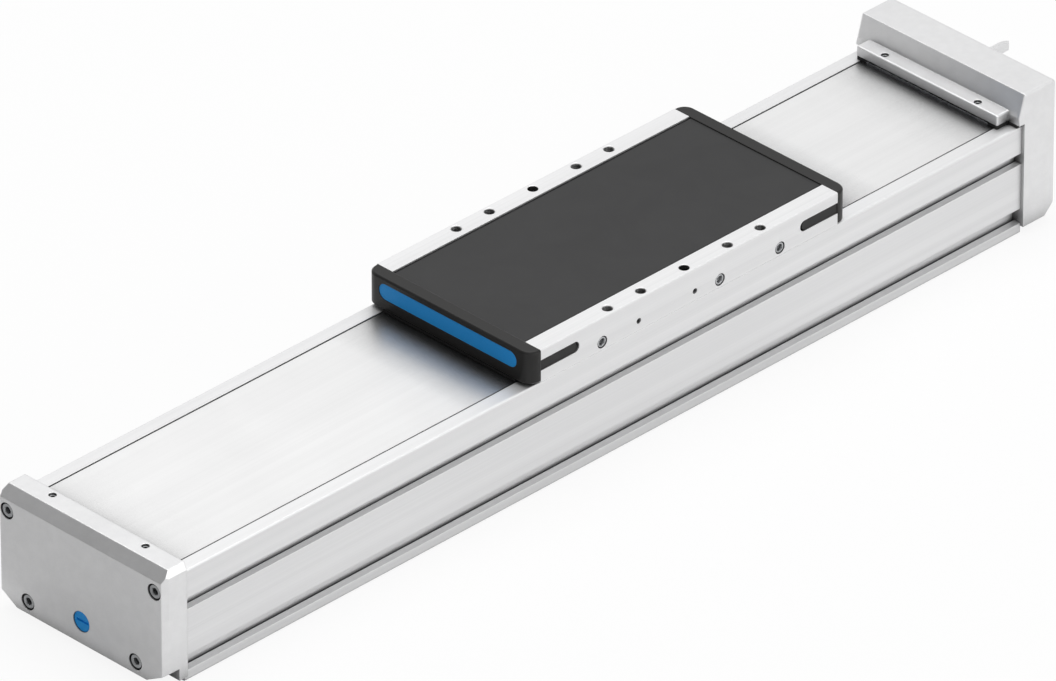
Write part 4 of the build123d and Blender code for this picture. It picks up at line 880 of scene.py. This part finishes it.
def make_sealing_plug():
    """The blue plug with a chamfered rim, a shallow dish and its level screwdriver slot."""
    low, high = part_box("sealing_plug")
    radius = (high.y - low.y) / 2
    length = high.x - low.x
    angle = circle_angles(PLUG_STEPS)
    face_radius = radius - PLUG_CHAMFER
    points = [ring(angle, radius, 0.0), ring(angle, radius, length - PLUG_CHAMFER)]
    for index in range(PLUG_RINGS + 1):
        r = face_radius - (face_radius - PLUG_CORE_RADIUS) * index / PLUG_RINGS
        x, y, z = ring(angle, r, length).T
        dish = PLUG_DISH * (1 - (r / radius) ** 2)
        across = np.clip((PLUG_SLOT_HALF_WIDTH - np.abs(y)) / PLUG_SLOT_EASE + 0.5, 0, 1)
        along = np.clip((PLUG_SLOT_HALF_LENGTH - np.abs(x)) / PLUG_SLOT_EASE, 0, 1)
        points.append(np.stack([x, y, z - dish - PLUG_SLOT_DEPTH * across * along], 1))
    count = len(points) * PLUG_STEPS
    faces = rows_of_faces(len(points), PLUG_STEPS) + end_faces(count, PLUG_STEPS)
    x, y, z = np.concatenate(points).T
    _, middle_y, middle_z = middle_of(low, high)
    turned = np.stack([high.x - z, middle_y + x, middle_z - y], 1)
    make_piece("sealing_plug_detail", turned, faces, "blue_plastic", "axis_body", ["sealing_plug"])


def make_ball_screw():
    """The ball screw with its helical raceway.

    Along the thread the radius is r(x, a) = R - d cos(pi / 2 u), a round groove centred on the
    helix a = 2 pi x / lead, where u is the angle off the helix over the groove's half width,
    up to 1.
    """
    low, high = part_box("ball_screw")
    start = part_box("profile")[0].x + THREAD_SETBACK
    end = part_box("profile")[1].x - THREAD_SETBACK
    rows = int((end - start) / SCREW_LEAD * SCREW_ROWS_PER_TURN)
    along = np.linspace(start, end, rows)
    x, a = np.meshgrid(along, circle_angles(SCREW_STEPS), indexing="ij")
    helix = 2 * pi * (x - start) / SCREW_LEAD
    off = np.abs(np.mod(a - helix + pi, 2 * pi) - pi) / radians(RACEWAY_HALF_ANGLE)
    radius = SCREW_RADIUS - RACEWAY_DEPTH * np.cos(np.clip(off, 0, 1) * pi / 2)
    thread = [x, radius * np.cos(a), SCREW_HEIGHT + radius * np.sin(a)]
    points = np.stack(thread, 2).reshape(-1, 3)
    faces = rows_of_faces(rows, SCREW_STEPS) + end_faces(len(points), SCREW_STEPS)
    journal_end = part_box("lock_nut")[1].x
    shaft_end = [(SHAFT_RADIUS, high.x - SHAFT_CHAMFER), (SHAFT_RADIUS - SHAFT_CHAMFER, high.x)]
    turned_parts = [
        [(SHAFT_RADIUS, low.x), (SHAFT_RADIUS, start)],
        [(JOURNAL_RADIUS, end), (JOURNAL_RADIUS, journal_end)],
        [(SHAFT_RADIUS, journal_end), *shaft_end],
    ]
    for profile in turned_parts:
        more, more_faces = revolved(profile)
        faces += [tuple(index + len(points) for index in face) for face in more_faces]
        more = turned_to(more, (0, 0, SCREW_HEIGHT), (1, 0, 0))
        points = np.concatenate([points, more])
    make_piece("ball_screw_raceway", points, faces, "bright_steel", "screw", ["ball_screw"])


def make_nut_balls():
    """The balls of the nut's working turn.

    Their centres lie at radius B on the helix (x, B cos a, B sin a), with a = 2 pi x / lead.
    """
    low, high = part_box("ball_nut")
    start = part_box("profile")[0].x + THREAD_SETBACK
    middle = (low.x + high.x) / 2
    circle = SCREW_RADIUS - RACEWAY_DEPTH + BALL_RADIUS
    profile = [
        (BALL_RADIUS * sqrt(max(0.0, 1 - t * t)) + BALL_POLE_RADIUS, BALL_RADIUS * t)
        for t in np.linspace(-1, 1, BALL_RINGS)
    ]
    places = []
    for index in range(BALL_COUNT):
        x = middle + SCREW_LEAD * (index / BALL_COUNT - 0.5)
        turn = 2 * pi * (x - start) / SCREW_LEAD
        places.append((x, circle * cos(turn), SCREW_HEIGHT + circle * sin(turn)))
    points, faces = many(revolved(profile, BALL_STEPS), places, (0, 0, 1))
    make_piece("nut_balls", points, faces, "bright_steel", "slide")


def link_object(name, data):
    """A new object in the scene."""
    made = bpy.data.objects.new(name, data)
    bpy.context.scene.collection.objects.link(made)
    return made


def light(name, place, target, size, power):
    """A soft rectangular light that faces a point."""
    data = bpy.data.lights.new(name, "AREA")
    data.shape = "RECTANGLE"
    data.size, data.size_y = size
    data.energy = power
    lamp = link_object(name, data)
    lamp.location = place
    lamp.rotation_euler = (Vector(target) - Vector(place)).to_track_quat("-Z", "Y").to_euler()


def sheet(name, points, material):
    """A flat sheet through four points."""
    mesh = bpy.data.meshes.new(name)
    mesh.from_pydata(points, [], [(0, 1, 2, 3)])
    mesh.materials.append(material)
    return link_object(name, mesh)


def grey_card(name, points, grey):
    """A grey studio card that only reflections see."""
    material, _, shader = new_material(name)
    shader.inputs["Base Color"].default_value = (grey, grey, grey, 1.0)
    card = sheet(name, points, material)
    card.visible_camera = False
    card.visible_shadow = False
    card.visible_diffuse = False


def make_floor():
    """A pale floor that takes soft shadows and is nearly white to the camera."""
    material, tree, shader = new_material("floor_white")
    shader.inputs["Base Color"].default_value = (FLOOR_GREY, FLOOR_GREY, FLOOR_GREY, 1.0)
    shader.inputs["Roughness"].default_value = FLOOR_ROUGHNESS
    glow = add(tree, "ShaderNodeEmission", {"Strength": 1.0})
    seen = add(tree, "ShaderNodeLightPath").outputs["Is Camera Ray"]
    share = combine(tree, "MULTIPLY", seen, FLOOR_GLOW)
    inputs = {0: share, 1: shader.outputs[0], 2: glow.outputs[0]}
    both = add(tree, "ShaderNodeMixShader", inputs)
    tree.links.new(both.outputs[0], tree.nodes["Material Output"].inputs["Surface"])
    half = FLOOR_SIZE / 2
    corners = [(-half, -half), (half, -half), (half, half), (-half, half)]
    floor = sheet("floor", [(x, y, -FLOOR_DROP) for x, y in corners], material)


def make_background():
    """A background that is white to the camera and in reflections, and lights more softly."""
    world = bpy.data.worlds.new("studio")
    bpy.context.scene.world = world
    world.use_nodes = True
    tree = world.node_tree
    sky = tree.nodes["Background"]
    sky.inputs["Strength"].default_value = WORLD_STRENGTH
    sky.inputs["Color"].default_value = WHITE
    white = add(tree, "ShaderNodeBackground", {"Strength": 1.0})
    rays = add(tree, "ShaderNodeLightPath").outputs
    mirrored = combine(tree, "MAXIMUM", rays["Is Glossy Ray"], rays["Is Transmission Ray"])
    seen = combine(tree, "MAXIMUM", rays["Is Camera Ray"], mirrored)
    both = add(tree, "ShaderNodeMixShader", {0: seen, 1: sky.outputs[0], 2: white.outputs[0]})
    tree.links.new(both.outputs[0], tree.nodes["World Output"].inputs["Surface"])


def make_surroundings():
    """The studio: floor, background, lamps and the two cards."""
    make_floor()
    make_background()
    for name, settings in LAMPS.items():
        light(name, *settings)
    near = [(x, y, CARD_LIFT) for x, y in NEAR_CARD_CORNERS]
    far = [(x, y, 0.0) for x, y in FAR_CARD_LINE]
    far += [(x, y, FAR_CARD_HEIGHT) for x, y in reversed(FAR_CARD_LINE)]
    grey_card("card_front", near, NEAR_CARD_GREY)
    grey_card("card_far", far, FAR_CARD_GREY)


def make_camera():
    """The camera of the photo."""
    data = bpy.data.cameras.new("photo")
    data.lens = CAMERA_LENS
    data.sensor_width = SENSOR_WIDTH
    data.clip_end = CAMERA_FAR
    camera = link_object("photo", data)
    camera.location = CAMERA_PLACE
    camera.rotation_euler = CAMERA_TURN
    bpy.context.scene.camera = camera


dress_nodes()
make_screw_heads()
make_set_screws()
make_nipples()
make_cover_plate()
make_cover_strip()
make_sealing_plug()
make_ball_screw()
make_nut_balls()
make_hole_walls()
make_surroundings()
make_camera()
bpy.context.scene.view_settings.view_transform = "Standard"
